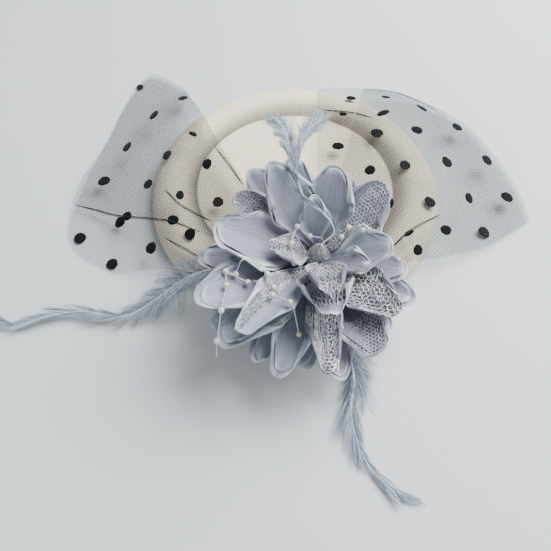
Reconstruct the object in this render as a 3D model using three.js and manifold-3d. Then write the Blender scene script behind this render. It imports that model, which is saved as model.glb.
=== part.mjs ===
// A spotted-net cocktail fascinator: a cloth-covered dished disc with a rolled ring, a layered
// flower of chiffon and lace petals on a felt foot, two fans of folded net, three plumes, two pearl
// sprays and a plain hair clip under the disc. Millimetres, +Z up. The origin is the middle of the
// clip's underside, which lies in the plane that the disc's rim rests on.
import * as THREE from 'three';
import { mergeVertices } from 'three/addons/utils/BufferGeometryUtils.js';
import Module from 'manifold-3d';

const wasm = await Module();
wasm.setup();

// Clearances between pieces that touch on the real thing. Turned pieces get a little more.
const gap = 0.3;
const footGap = 0.36;
const stringGap = 0.7;

// Vertices of one body nearer than this are the same vertex
const weldDistance = 1e-4;

// Disc
const discRadius = 72.5;
const discWall = 2.4;
const ringOuterWidth = 12.5;
const ringInnerWidth = 10.3;
const ringCrestRadius = discRadius - ringOuterWidth;
const centreRadius = ringCrestRadius - ringInnerWidth;
const centreHeight = 10.9;
const ringCrestHeight = 13.8;
const ringSpringHeight = 3;
const rimInset = 0.7;
const discSides = 40;
const ringSteps = 4;

// Hair clip
const clipLength = 52;
const clipWidth = 9;
const clipJaw = 1.2;
const clipMouth = 2.2;
const clipHeelJaw = 1.8;
const clipHeelReach = 16;
const clipTopReach = 8;

// Felt foot and hub that carry the flower
const footRadius = 12;
const padThickness = 4;
const footSides = 24;
const hubSides = 16;
const hubHeight = 13;
const hubRadius = 6;
const hubTopRadius = 3.5;
const stalkRadius = 1.6;
const stalkHeight = 20;
const flowerBearing = -80.5;
const flowerInset = 5.3;
const flowerTilt = 12;

// Petals
const petalLength = 50;
const petalWidth = 28;
const petalWall = 1;
const petalBase = 2.4;
const petalStepsAcross = 4;
const petalStepsAlong = 5;
const lowestElevation = -5;
const elevationStep = 12;
const levelHeight = 2;
const firstLevelHeight = 1.7;

// Net
const netWall = 1;
const netFoldGap = 1.2;
const netReach = 160;
const netPuff = 14;
const clothRise = 1;
const drapeAngle = 25;

// Cloth falls away from halfway down the ring's outer side
const brinkRadius = (ringCrestRadius + discRadius) / 2;

// Plumes
const plumeWall = 1.2;
const leftPlumeReach = 158;
const leftPlumeWidth = 24;
const leftPlumeLift = 5;
const frontPlumeReach = 108;
const frontPlumeWidth = 20;
const frontPlumeLift = 1.5;
const crownPlumeWidth = 8;

// Pearls
const pearlRadius = 1.5;
const threadRadius = 0.4;
const pearlSides = 10;

const radians = THREE.MathUtils.degToRad;
const lerp = THREE.MathUtils.lerp;

const materials = {
  cloth: new THREE.MeshStandardMaterial({ color: 0xe4dccd, roughness: 0.85, metalness: 0 }),
  clip: new THREE.MeshStandardMaterial({ color: 0xb9bcc0, roughness: 0.35, metalness: 1 }),
  felt: new THREE.MeshStandardMaterial({ color: 0x8e94a6, roughness: 0.95, metalness: 0 }),
  chiffon: new THREE.MeshStandardMaterial({ color: 0xa9afc4, roughness: 0.6, metalness: 0 }),
  lace: new THREE.MeshStandardMaterial({ color: 0x9a9cab, roughness: 0.55, metalness: 0 }),
  net: new THREE.MeshStandardMaterial({ color: 0x1b1c22, roughness: 0.8, metalness: 0 }),
  feather: new THREE.MeshStandardMaterial({ color: 0xb4c2d2, roughness: 0.8, metalness: 0 }),
  pearl: new THREE.MeshStandardMaterial({ color: 0xe8e2d6, roughness: 0.2, metalness: 0 }),
};

// A closed body as a solid that can be cut and joined.
function toSolid(geometry) {
  const bare = geometry.clone();
  bare.deleteAttribute('normal');
  bare.deleteAttribute('uv');
  const merged = mergeVertices(bare, weldDistance);
  const index = merged.index.array;
  const kept = [];
  for (let i = 0; i < index.length; i += 3) {
    const [a, b, c] = [index[i], index[i + 1], index[i + 2]];
    if (a !== b && b !== c && c !== a) kept.push(a, b, c);
  }
  return new wasm.Manifold(new wasm.Mesh({
    numProp: 3,
    vertProperties: new Float32Array(merged.attributes.position.array),
    triVerts: new Uint32Array(kept),
  }));
}

function toGeometry(solid) {
  const mesh = solid.getMesh();
  const geometry = new THREE.BufferGeometry();
  geometry.setAttribute('position', new THREE.BufferAttribute(new Float32Array(mesh.vertProperties), 3));
  geometry.setIndex(new THREE.BufferAttribute(new Uint32Array(mesh.triVerts), 1));
  geometry.computeVertexNormals();
  return geometry;
}

// A body of revolution about +Z from [radius, height] pairs that start and end on the axis.
function lathe(profile, sides) {
  const points = profile.map(([r, z]) => new THREE.Vector2(r, z));
  return new THREE.LatheGeometry(points, sides).rotateX(Math.PI / 2);
}

// A wall of even thickness about a surface given over u in -1..1 and v in 0..1.
function wallOf(surface, across, along, wall) {
  const grid = [];
  for (let i = 0; i <= across; i++) {
    const column = [];
    for (let j = 0; j <= along; j++) column.push(surface((2 * i) / across - 1, j / along));
    grid.push(column);
  }
  const positions = [];
  for (const side of [0.5, -0.5]) {
    for (let i = 0; i <= across; i++) {
      for (let j = 0; j <= along; j++) {
        const overU = grid[Math.min(i + 1, across)][j].clone().sub(grid[Math.max(i - 1, 0)][j]);
        const overV = grid[i][Math.min(j + 1, along)].clone().sub(grid[i][Math.max(j - 1, 0)]);
        const normal = overU.cross(overV).normalize();
        positions.push(...grid[i][j].clone().addScaledVector(normal, side * wall));
      }
    }
  }
  const row = along + 1;
  const under = (across + 1) * row;
  const faces = [];
  const quad = (a, b, c, d) => faces.push(a, b, c, a, c, d);
  for (let i = 0; i < across; i++) {
    for (let j = 0; j < along; j++) {
      const a = i * row + j;
      quad(a, a + row, a + row + 1, a + 1);
      quad(under + a, under + a + 1, under + a + row + 1, under + a + row);
    }
  }
  for (let i = 0; i < across; i++) {
    const root = i * row;
    const tip = root + along;
    quad(root + row, root, under + root, under + root + row);
    quad(tip, tip + row, under + tip + row, under + tip);
  }
  for (let j = 0; j < along; j++) {
    const far = across * row + j;
    quad(j, j + 1, under + j + 1, under + j);
    quad(far + 1, far, under + far, under + far + 1);
  }
  const geometry = new THREE.BufferGeometry();
  geometry.setAttribute('position', new THREE.Float32BufferAttribute(positions, 3));
  geometry.setIndex(faces);
  geometry.computeVertexNormals();
  return geometry;
}

// The disc's ring, as [radius, height] from the crease round the crest to the springing line.
// inset draws it parallel, that much inside the outer surface.
function ringProfile(inset) {
  const profile = [];
  for (let i = 0; i < ringSteps; i++) {
    const share = i / ringSteps;
    const rise = (1 - Math.cos(Math.PI * share)) / 2;
    profile.push([
      lerp(centreRadius, ringCrestRadius, share),
      lerp(centreHeight, ringCrestHeight, rise) - inset,
    ]);
  }
  for (let i = 0; i <= ringSteps; i++) {
    const turn = (Math.PI / 2) * (i / ringSteps);
    profile.push([
      ringCrestRadius + (discRadius - ringCrestRadius - inset) * Math.sin(turn),
      ringSpringHeight + (ringCrestHeight - ringSpringHeight - inset) * Math.cos(turn),
    ]);
  }
  return profile;
}

function discGeometry() {
  const rimRadius = discRadius - rimInset;
  const outside = [[0, centreHeight], ...ringProfile(0), [rimRadius, 0]];
  const inside = [[0, centreHeight - discWall], ...ringProfile(discWall), [rimRadius - discWall, 0]];
  return lathe([...inside, ...outside.reverse()], discSides);
}

// Side outline of a flat-jawed clip: one plain spring piece, open at the tip.
function clipGeometry() {
  const clipHeight = centreHeight - discWall - gap;
  const half = clipLength / 2;
  const outline = new THREE.Shape();
  outline.moveTo(-half, 0);
  outline.lineTo(half, 0);
  outline.lineTo(half, clipJaw);
  outline.lineTo(-clipHeelReach, clipHeelJaw);
  outline.lineTo(-clipHeelReach, clipHeelJaw + clipMouth);
  outline.lineTo(half, clipJaw + clipMouth);
  outline.lineTo(half, clipJaw * 2 + clipMouth);
  outline.lineTo(clipTopReach, clipHeight);
  outline.lineTo(-half, clipHeight);
  outline.lineTo(-half, 0);
  const bar = new THREE.ExtrudeGeometry(outline, { depth: clipWidth, bevelEnabled: false });
  return bar.rotateX(Math.PI / 2).translate(0, clipWidth / 2, 0);
}

// Where the flower stands: on the ring, with its pad's plane just clear of the ring's crest.
const flowerReach = ringCrestRadius - flowerInset;
const tilt = radians(flowerTilt);
const flowerSeat = Math.max(
  ...ringProfile(0).map(([r, z]) => z + (r - flowerReach) * Math.tan(tilt)),
);
const flowerPlace = new THREE.Vector3(
  flowerReach * Math.cos(radians(flowerBearing)),
  flowerReach * Math.sin(radians(flowerBearing)),
  flowerSeat + gap + padThickness / Math.cos(tilt),
);

// Cloth lies on this: just over the ring's crest, then falling gently from the brink to the table.
function drapeHeight(x, y) {
  const fall = Math.tan(radians(drapeAngle)) * Math.max(0, Math.hypot(x, y) - brinkRadius);
  return Math.max(ringCrestHeight + clothRise - fall, gap);
}

// The pad is a round column cut off by the ring below it and by the flower's tilted plane above it.
// The hub and its stalk stand on that plane and are rooted inside the pad.
function footGeometry() {
  const lift = footGap;
  const raised = ringProfile(0).map(([r, z]) => [r, z + lift]);
  const below = lathe(
    [[0, -lift], [discRadius, -lift], ...raised.reverse(), [0, centreHeight + lift]],
    discSides,
  );
  const column = new THREE.CylinderGeometry(footRadius, footRadius, flowerPlace.z, footSides);
  column.rotateX(Math.PI / 2).translate(...flowerPlace);
  const depth = flowerPlace.z * 4;
  const above = new THREE.BoxGeometry(discRadius, discRadius, depth);
  above.translate(0, 0, depth / 2);
  above.rotateX(tilt).translate(...flowerPlace);
  const root = -padThickness / 4;
  const hub = lathe(
    [[0, root], [hubRadius, root], [hubRadius, 0], [hubTopRadius, hubHeight], [stalkRadius, hubHeight],
      [stalkRadius, stalkHeight], [0, stalkHeight]],
    hubSides,
  );
  hub.rotateX(tilt).translate(...flowerPlace);
  return toGeometry(toSolid(column).subtract(toSolid(above)).subtract(toSolid(below)).add(toSolid(hub)));
}

// Petals, from the outermost low ones to the heart. level sets elevation and height on the hub;
// bearing is in the flower's plane; reach and breadth are shares of petalLength and petalWidth; fold
// is the arc that the petal's section turns through and curl how far its tip turns up. Angles are in
// degrees.
const petals = [
  { kind: 'chiffon', level: 0.0, bearing: -149, reach: 0.98, breadth: 0.76, fold: 50, curl: 6 },
  { kind: 'chiffon', level: 0.7, bearing: -121, reach: 0.97, breadth: 0.68, fold: 50, curl: 6 },
  { kind: 'chiffon', level: 0.0, bearing: -98, reach: 0.86, breadth: 0.68, fold: 50, curl: 8 },
  { kind: 'chiffon', level: 0.7, bearing: -81, reach: 1.00, breadth: 0.72, fold: 50, curl: 8 },
  { kind: 'chiffon', level: 0.0, bearing: -46, reach: 0.76, breadth: 0.78, fold: 50, curl: 8 },
  { kind: 'chiffon', level: 0.7, bearing: -25, reach: 0.80, breadth: 0.80, fold: 50, curl: 6 },
  { kind: 'chiffon', level: 0.9, bearing: 42, reach: 0.74, breadth: 0.80, fold: 50, curl: 8 },
  { kind: 'chiffon', level: 1.6, bearing: 71, reach: 0.72, breadth: 0.80, fold: 50, curl: 8 },
  { kind: 'chiffon', level: 0.9, bearing: 103, reach: 0.90, breadth: 0.72, fold: 60, curl: 8 },
  { kind: 'chiffon', level: 1.7, bearing: 129, reach: 0.90, breadth: 0.84, fold: 50, curl: 10 },
  { kind: 'chiffon', level: 0.4, bearing: 157, reach: 0.86, breadth: 0.80, fold: 60, curl: 8 },
  { kind: 'chiffon', level: 1.6, bearing: 184, reach: 0.96, breadth: 0.78, fold: 60, curl: 0 },
  { kind: 'chiffon', level: 0.8, bearing: -165, reach: 0.96, breadth: 0.76, fold: 50, curl: 4 },
  { kind: 'chiffon', level: 2.0, bearing: -133, reach: 1.14, breadth: 0.86, fold: 60, curl: -2 },
  { kind: 'chiffon', level: 1.4, bearing: -108, reach: 1.08, breadth: 0.72, fold: 90, curl: 2 },
  { kind: 'lace', level: 2.5, bearing: -88, reach: 1.14, breadth: 0.62, fold: 90, curl: 0 },
  { kind: 'chiffon', level: 1.4, bearing: -63, reach: 0.94, breadth: 1.08, fold: 90, curl: 6 },
  { kind: 'lace', level: 2.4, bearing: -43, reach: 0.82, breadth: 0.84, fold: 60, curl: -4 },
  { kind: 'chiffon', level: 1.5, bearing: -12, reach: 0.68, breadth: 0.84, fold: 60, curl: 0 },
  { kind: 'chiffon', level: 2.8, bearing: -151, reach: 1.16, breadth: 1.04, fold: 60, curl: -6 },
  { kind: 'lace', level: 2.6, bearing: 149, reach: 0.84, breadth: 0.84, fold: 70, curl: 8 },
  { kind: 'lace', level: 2.3, bearing: 44, reach: 0.79, breadth: 0.92, fold: 70, curl: 10 },
  { kind: 'chiffon', level: 2.9, bearing: 78, reach: 0.74, breadth: 0.90, fold: 80, curl: 12 },
  { kind: 'chiffon', level: 3.0, bearing: -1, reach: 0.60, breadth: 0.86, fold: 70, curl: 0 },
  { kind: 'chiffon', level: 3.4, bearing: 180, reach: 0.96, breadth: 1.02, fold: 80, curl: 0 },
  { kind: 'chiffon', level: 3.8, bearing: 125, reach: 0.88, breadth: 0.88, fold: 80, curl: 6 },
  { kind: 'lace', level: 3.5, bearing: -128, reach: 1.12, breadth: 0.70, fold: 80, curl: -14 },
  { kind: 'chiffon', level: 4.6, bearing: -36, reach: 0.56, breadth: 0.60, fold: 90, curl: 0 },
  { kind: 'lace', level: 4.1, bearing: -85, reach: 0.82, breadth: 0.92, fold: 90, curl: -4 },
  { kind: 'chiffon', level: 4.6, bearing: 100, reach: 0.50, breadth: 0.56, fold: 90, curl: 8 },
  { kind: 'lace', level: 5.4, bearing: -84, reach: 0.76, breadth: 0.68, fold: 90, curl: -20 },
  { kind: 'lace', level: 4.8, bearing: -170, reach: 0.46, breadth: 0.6, fold: 80, curl: -10 },
];

// How the petal's width runs along it, as shares: narrow root, widest past the middle, round tip.
const petalPeak = 0.62;
const petalTip = 0.66;
const petalTipBow = 0.15;
const petalSpread = 1.5;

// Stands for no curl at all, in degrees
const leastCurl = 0.01;

function petalHalfWidth(breadth, v) {
  const half = (petalWidth * breadth) / 2;
  if (v < petalPeak) {
    const share = Math.sin((Math.PI / 2) * (v / petalPeak)) ** petalSpread;
    return lerp(petalBase / 2, half, share);
  }
  const past = (v - petalPeak) / (1 - petalPeak);
  return half * (1 - (1 - petalTip) * past * past);
}

function petalPoint(petal, u, v) {
  const reach = petalLength * petal.reach;
  const s = reach * v * (1 - petalTipBow * u * u * v * v);
  const start = radians(lowestElevation + elevationStep * petal.level);
  const bend = radians(petal.curl || leastCurl) / reach;
  const slope = start + bend * s;
  const hubShare = (firstLevelHeight + levelHeight * petal.level) / hubHeight;
  const root = lerp(hubRadius, hubTopRadius, hubShare) + gap + petalWall / 2;
  const out = root + (Math.sin(slope) - Math.sin(start)) / bend;
  const up = firstLevelHeight + levelHeight * petal.level + (Math.cos(start) - Math.cos(slope)) / bend;
  const halfFold = radians(petal.fold) / 2;
  const arc = petalHalfWidth(petal.breadth, v) / halfFold;
  const sideways = arc * Math.sin(u * halfFold);
  const lifted = arc * (1 - Math.cos(u * halfFold));
  const bearing = radians(petal.bearing);
  const flat = out - lifted * Math.sin(slope);
  return new THREE.Vector3(
    flat * Math.cos(bearing) - sideways * Math.sin(bearing),
    flat * Math.sin(bearing) + sideways * Math.cos(bearing),
    up + lifted * Math.cos(slope),
  );
}

// Each net fan is doubled along one side and spreads from the flower's foot. Rows run from the
// lower sheet's free edge to the side fold and back over it to the upper sheet's free edge. bearing
// and sweep are in degrees, reach a share of netReach and puff a share of netPuff. sweep is how far
// a row leans from its bearing at the foot. Lower rows have no puff.
const leftNet = [
  { sheet: 0, bearing: 176, sweep: 0, reach: 0.61, puff: 0.00 },
  { sheet: 0, bearing: 170, sweep: 0, reach: 0.75, puff: 0.00 },
  { sheet: 0, bearing: 164, sweep: 0, reach: 0.80, puff: 0.00 },
  { sheet: 0, bearing: 157, sweep: 0, reach: 0.82, puff: 0.00 },
  { sheet: 0, bearing: 150, sweep: 0, reach: 0.85, puff: 0.00 },
  { sheet: 0, bearing: 142, sweep: 0, reach: 0.89, puff: 0.00 },
  { sheet: 0, bearing: 134, sweep: 0, reach: 0.96, puff: 0.00 },
  { sheet: 0, bearing: 127, sweep: 0, reach: 1.03, puff: 0.00 },
  { sheet: 0, bearing: 122, sweep: 0, reach: 1.06, puff: 0.00 },
  { sheet: 0.5, bearing: 118, sweep: 0, reach: 0.93, puff: 0.10 },
  { sheet: 1, bearing: 122, sweep: 0, reach: 1.06, puff: 0.25 },
  { sheet: 1, bearing: 127, sweep: 0, reach: 1.03, puff: 0.45 },
  { sheet: 1, bearing: 133, sweep: 0, reach: 0.96, puff: 0.30 },
  { sheet: 1, bearing: 139, sweep: 0, reach: 0.90, puff: 0.50 },
  { sheet: 1, bearing: 145, sweep: 0, reach: 0.87, puff: 0.30 },
  { sheet: 1, bearing: 152, sweep: 0, reach: 0.85, puff: 0.45 },
  { sheet: 1, bearing: 159, sweep: 4, reach: 0.82, puff: 0.10 },
];
const rightNet = [
  { sheet: 0, bearing: 88, sweep: 0, reach: 0.74, puff: 0.00 },
  { sheet: 0, bearing: 80, sweep: 0, reach: 0.79, puff: 0.00 },
  { sheet: 0, bearing: 70, sweep: 0, reach: 0.85, puff: 0.00 },
  { sheet: 0, bearing: 60, sweep: 0, reach: 0.85, puff: 0.00 },
  { sheet: 0, bearing: 50, sweep: 0, reach: 0.84, puff: 0.00 },
  { sheet: 0, bearing: 41, sweep: -3, reach: 0.80, puff: 0.00 },
  { sheet: 0, bearing: 32, sweep: -8, reach: 0.77, puff: 0.00 },
  { sheet: 0, bearing: 24, sweep: -14, reach: 0.74, puff: 0.00 },
  { sheet: 0.5, bearing: 19, sweep: -20, reach: 0.72, puff: 0.10 },
  { sheet: 1, bearing: 24, sweep: -14, reach: 0.74, puff: 0.45 },
  { sheet: 1, bearing: 32, sweep: -8, reach: 0.77, puff: 0.50 },
  { sheet: 1, bearing: 41, sweep: -3, reach: 0.80, puff: 0.95 },
  { sheet: 1, bearing: 50, sweep: 0, reach: 0.84, puff: 0.75 },
  { sheet: 1, bearing: 60, sweep: 0, reach: 0.85, puff: 1.00 },
  { sheet: 1, bearing: 69, sweep: 0, reach: 0.84, puff: 0.75 },
  { sheet: 1, bearing: 76, sweep: 0, reach: 0.78, puff: 0.50 },
];
const netStepsOverDisc = 4;
const netStepsBeyond = 4;

// Shares: how far along the petals hold the net down, how blunt its puffs are, and where along it
// a row that is too short for the brink still bends.
const petalCover = 0.8;
const puffBluntness = 0.7;
const shortRowBend = 0.95;

// How far from the flower's foot, along a bearing, the surface that cloth lies on starts to fall.
function reachOfBrink(bearing) {
  const along = flowerPlace.x * Math.cos(bearing) + flowerPlace.y * Math.sin(bearing);
  const off = Math.hypot(flowerPlace.x, flowerPlace.y) ** 2 - along * along;
  return Math.sqrt(brinkRadius ** 2 - off) - along;
}

function netPoint(rows, u, v) {
  const row = rows[Math.round(((u + 1) / 2) * (rows.length - 1))];
  const reach = netReach * row.reach;
  const brink = Math.min(reachOfBrink(radians(row.bearing)), reach * shortRowBend);
  const step = v * (netStepsOverDisc + netStepsBeyond);
  const out = step < netStepsOverDisc
    ? lerp(footRadius + gap, brink, step / netStepsOverDisc)
    : lerp(brink, reach, (step - netStepsOverDisc) / netStepsBeyond);
  const bearing = radians(row.bearing + row.sweep * (1 - out / reach));
  const x = flowerPlace.x + out * Math.cos(bearing);
  const y = flowerPlace.y + out * Math.sin(bearing);
  const covered = petalLength * petalCover;
  const open = Math.max(0, (out - covered) / (reach - covered));
  const lift = netPuff * row.puff * Math.sin(Math.PI * open) ** puffBluntness;
  const sheet = netWall / 2 + (netWall + netFoldGap) * row.sheet;
  return new THREE.Vector3(x, y, drapeHeight(x, y) + sheet + lift);
}

function netGeometry(rows) {
  const steps = netStepsOverDisc + netStepsBeyond;
  return wallOf((u, v) => netPoint(rows, u, v), rows.length - 1, steps, netWall);
}

// Plume spines from the foot outward: bearing in degrees and, as shares of the plume's own sizes,
// how far out a row is, how high its spine lies over the cloth and how wide its vane is.
const leftPlume = [
  { bearing: 180, reach: 0, lift: 0.8, width: 0.08 },
  { bearing: 181, reach: 0.1, lift: 0.92, width: 0.5 },
  { bearing: 182, reach: 0.2, lift: 0.96, width: 0.83 },
  { bearing: 183, reach: 0.3, lift: 0.96, width: 1 },
  { bearing: 186, reach: 0.38, lift: 0.72, width: 0.83 },
  { bearing: 189, reach: 0.46, lift: 0.6, width: 0.54 },
  { bearing: 191, reach: 0.54, lift: 0.5, width: 0.38 },
  { bearing: 188, reach: 0.66, lift: 0.6, width: 0.38 },
  { bearing: 188, reach: 0.76, lift: 0.6, width: 0.38 },
  { bearing: 189, reach: 0.86, lift: 0.5, width: 0.33 },
  { bearing: 187, reach: 0.93, lift: 0.4, width: 0.25 },
  { bearing: 185, reach: 1, lift: 0.3, width: 0.08 },
];
const frontPlume = [
  { bearing: -70, reach: 0, lift: 0.53, width: 0.1 },
  { bearing: -68.5, reach: 0.2, lift: 1, width: 0.4 },
  { bearing: -69.5, reach: 0.31, lift: 1, width: 0.8 },
  { bearing: -72.2, reach: 0.41, lift: 0.8, width: 1 },
  { bearing: -75.6, reach: 0.475, lift: 0.8, width: 0.95 },
  { bearing: -77.6, reach: 0.54, lift: 0.8, width: 0.75 },
  { bearing: -78.6, reach: 0.6, lift: 0.8, width: 0.55 },
  { bearing: -78.9, reach: 0.66, lift: 0.8, width: 0.5 },
  { bearing: -78.3, reach: 0.74, lift: 0.8, width: 0.5 },
  { bearing: -76.5, reach: 0.82, lift: 0.8, width: 0.5 },
  { bearing: -73.2, reach: 0.92, lift: 0.8, width: 0.4 },
  { bearing: -68.8, reach: 1, lift: 0.67, width: 0.1 },
];

const plumeNotch = 0.45;
const plumeSweep = 0.55;
const notchesPerRow = 3;

// A vane with notched, swept-forward edges that stand for its locks. widths has one for each row.
function plumeGeometry(spine, widths) {
  const curve = new THREE.CatmullRomCurve3(spine);
  const rows = (spine.length - 1) * notchesPerRow;
  const step = curve.getLength() / rows;
  const surface = (u, v) => {
    const at = curve.getPoint(v);
    const ahead = curve.getTangent(v);
    const side = new THREE.Vector3(0, 0, 1).cross(ahead).normalize();
    const place = v * (spine.length - 1);
    const first = Math.min(Math.floor(place), spine.length - 2);
    const half = lerp(widths[first], widths[first + 1], place - first) / 2;
    const notched = Math.round(v * rows) % 2 ? 1 : 1 - plumeNotch;
    const swept = Math.abs(u) * step * plumeSweep * notched;
    return at.addScaledVector(side, u * half * notched).addScaledVector(ahead, v < 1 ? swept : 0);
  };
  return wallOf(surface, 2, rows, plumeWall);
}

// The crown plume springs from the stalk between the heart's petals and parts over them into two
// vanes. right, back and rise are shares of petalLength from the flower's place, width a share of
// crownPlumeWidth.
const crownPlume = [
  [
    { right: 0.015, back: -0.045, rise: 0.38, width: 0.15 },
    { right: 0.12, back: 0.01, rise: 0.47, width: 0.2 },
    { right: 0.09, back: 0.08, rise: 0.54, width: 0.25 },
    { right: -0.03, back: 0.135, rise: 0.66, width: 0.28 },
    { right: -0.145, back: 0.21, rise: 0.72, width: 0.28 },
    { right: -0.21, back: 0.33, rise: 0.85, width: 0.3 },
    { right: -0.24, back: 0.55, rise: 0.87, width: 0.625 },
    { right: -0.29, back: 0.86, rise: 0.8, width: 1 },
    { right: -0.38, back: 1.14, rise: 0.7, width: 0.25 },
  ],
  [
    { right: -0.145, back: 0.21, rise: 0.72, width: 0.15 },
    { right: -0.2, back: 0.33, rise: 0.85, width: 0.28 },
    { right: -0.18, back: 0.55, rise: 0.87, width: 0.5 },
    { right: -0.1, back: 0.86, rise: 0.8, width: 0.875 },
    { right: 0.05, back: 1.13, rise: 0.7, width: 0.25 },
  ],
];

function placed({ right, back, rise = 0 }) {
  return new THREE.Vector3(right, back, rise).multiplyScalar(petalLength).add(flowerPlace);
}

function crownGeometry() {
  const vanes = crownPlume.map((rows) => toSolid(
    plumeGeometry(rows.map(placed), rows.map((row) => row.width * crownPlumeWidth)),
  ));
  return toGeometry(wasm.Manifold.union(vanes));
}

function lyingSpine(rows, reach, height) {
  return rows.map(({ bearing, reach: share, lift }) => {
    const out = lerp(footRadius + gap, reach, share);
    const x = flowerPlace.x + out * Math.cos(radians(bearing));
    const y = flowerPlace.y + out * Math.sin(radians(bearing));
    return new THREE.Vector3(x, y, drapeHeight(x, y) + lift * height);
  });
}

// Pearl strings lie on the petals. right and back are shares of petalLength from the flower's
// place; floor is the least rise, for a loose end. Rows without a pearl only lead the thread.
const pearlStrings = {
  left: [
    [
      { right: -0.85, back: -1.02, floor: 0.2 },
      { right: -0.84, back: -0.94, floor: 0.28, pearl: true },
      { right: -0.8, back: -0.77, floor: 0, pearl: true },
      { right: -0.77, back: -0.52, floor: 0, pearl: true },
      { right: -0.78, back: -0.4, floor: 0, pearl: true },
      { right: -0.6, back: -0.45, floor: 0, pearl: true },
      { right: -0.4, back: -0.6, floor: 0, pearl: true },
      { right: -0.26, back: -0.68, floor: 0, pearl: true },
      { right: -0.18, back: -0.78, floor: 0, pearl: true },
    ],
    [
      { right: -0.78, back: -0.4, floor: 0 },
      { right: -0.7, back: -0.4, floor: 0, pearl: true },
      { right: -0.58, back: -0.33, floor: 0 },
      { right: -0.44, back: -0.42, floor: 0, pearl: true },
      { right: -0.39, back: -0.52, floor: 0, pearl: true },
      { right: -0.26, back: -0.68, floor: 0 },
    ],
  ],
  heart: [
    [
      { right: -0.24, back: -0.1, floor: 0, pearl: true },
      { right: -0.23, back: -0.03, floor: 0 },
      { right: -0.19, back: 0.05, floor: 0, pearl: true },
      { right: -0.08, back: 0.03, floor: 0, pearl: true },
      { right: 0.07, back: 0.06, floor: 0 },
      { right: 0.2, back: 0.07, floor: 0, pearl: true },
      { right: 0.26, back: 0.13, floor: 0, pearl: true },
      { right: 0.37, back: 0.06, floor: 0, pearl: true },
    ],
  ],
};
const threadStep = 2;
const threadSides = 5;

// Rays that feel for what is under a ball: how far out they start, as shares of its radius, and how
// many there are round it.
const feelerShares = [0, 0.5, 0.9];
const feelersRound = 8;
const caster = new THREE.Raycaster();
const down = new THREE.Vector3(0, 0, -1);

// The height at which a ball's centre rests on the pieces under it.
function restHeight(x, y, radius, pieces) {
  const clear = radius + stringGap;
  let height = 0;
  for (const share of feelerShares) {
    for (let i = 0; i < feelersRound; i++) {
      const turn = (2 * Math.PI * i) / feelersRound;
      const from = new THREE.Vector3(
        x + clear * share * Math.cos(turn),
        y + clear * share * Math.sin(turn),
        flowerPlace.z + petalLength * 2,
      );
      caster.set(from, down);
      const [hit] = caster.intersectObjects(pieces, false);
      if (hit) height = Math.max(height, hit.point.z + clear * Math.sqrt(1 - share * share));
    }
  }
  return height;
}

// Points of a thread pulled tight between two ends over the pieces under it.
function tautThread(start, end, pieces) {
  const steps = Math.ceil(start.distanceTo(end) / threadStep);
  const points = [];
  for (let i = 0; i <= steps; i++) {
    const point = start.clone().lerp(end, i / steps);
    if (i > 0 && i < steps) point.z = restHeight(point.x, point.y, threadRadius, pieces);
    points.push(point);
  }
  return points.map((point, i) => {
    let z = point.z;
    for (let a = 0; a < i; a++) {
      for (let b = i + 1; b <= steps; b++) {
        z = Math.max(z, lerp(points[a].z, points[b].z, (i - a) / (b - a)));
      }
    }
    return new THREE.Vector3(point.x, point.y, z);
  });
}

function stringGeometry(threads, pieces) {
  const solids = [];
  const section = new THREE.Shape();
  for (let i = 0; i < threadSides; i++) {
    const turn = (2 * Math.PI * i) / threadSides;
    section[i ? 'lineTo' : 'moveTo'](threadRadius * Math.cos(turn), threadRadius * Math.sin(turn));
  }
  for (const rows of threads) {
    const knots = rows.map((row) => {
      const point = placed(row);
      const rest = restHeight(point.x, point.y, row.pearl ? pearlRadius : threadRadius, pieces);
      point.z = Math.max(rest, flowerPlace.z + row.floor * petalLength);
      return point;
    });
    const path = [knots[0]];
    for (let i = 1; i < knots.length; i++) {
      path.push(...tautThread(knots[i - 1], knots[i], pieces).slice(1));
    }
    const curve = new THREE.CatmullRomCurve3(path, false, 'chordal');
    solids.push(toSolid(new THREE.ExtrudeGeometry(section, {
      steps: path.length - 1, extrudePath: curve, bevelEnabled: false,
    })));
    rows.forEach((row, i) => {
      if (!row.pearl) return;
      const pearl = new THREE.SphereGeometry(pearlRadius, pearlSides, pearlSides / 2);
      solids.push(toSolid(pearl.translate(...knots[i])));
    });
  }
  return toGeometry(wasm.Manifold.union(solids));
}

function named(name, geometry, material) {
  const mesh = new THREE.Mesh(geometry, material);
  mesh.name = name;
  return mesh;
}

const fascinator = new THREE.Group();
fascinator.add(named('disc', toGeometry(toSolid(discGeometry())), materials.cloth));
fascinator.add(named('hair_clip', clipGeometry(), materials.clip));
fascinator.add(named('flower_foot', footGeometry(), materials.felt));
fascinator.add(named('left_net', netGeometry(leftNet), materials.net));
fascinator.add(named('right_net', netGeometry(rightNet), materials.net));

const flower = new THREE.Group();
flower.position.copy(flowerPlace);
flower.rotation.x = tilt;
const counts = { chiffon: 0, lace: 0 };
for (const petal of petals) {
  counts[petal.kind] += 1;
  const name = `${petal.kind}_petal_${String(counts[petal.kind]).padStart(2, '0')}`;
  const wall = wallOf((u, v) => petalPoint(petal, u, v), petalStepsAcross, petalStepsAlong, petalWall);
  flower.add(named(name, wall, materials[petal.kind]));
}
fascinator.add(flower);

const leftVane = plumeGeometry(
  lyingSpine(leftPlume, leftPlumeReach, leftPlumeLift),
  leftPlume.map((row) => row.width * leftPlumeWidth),
);
const frontVane = plumeGeometry(
  lyingSpine(frontPlume, frontPlumeReach, frontPlumeLift),
  frontPlume.map((row) => row.width * frontPlumeWidth),
);
fascinator.add(named('left_plume', leftVane, materials.feather));
fascinator.add(named('front_plume', frontVane, materials.feather));
fascinator.add(named('crown_plume', crownGeometry(), materials.feather));

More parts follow.
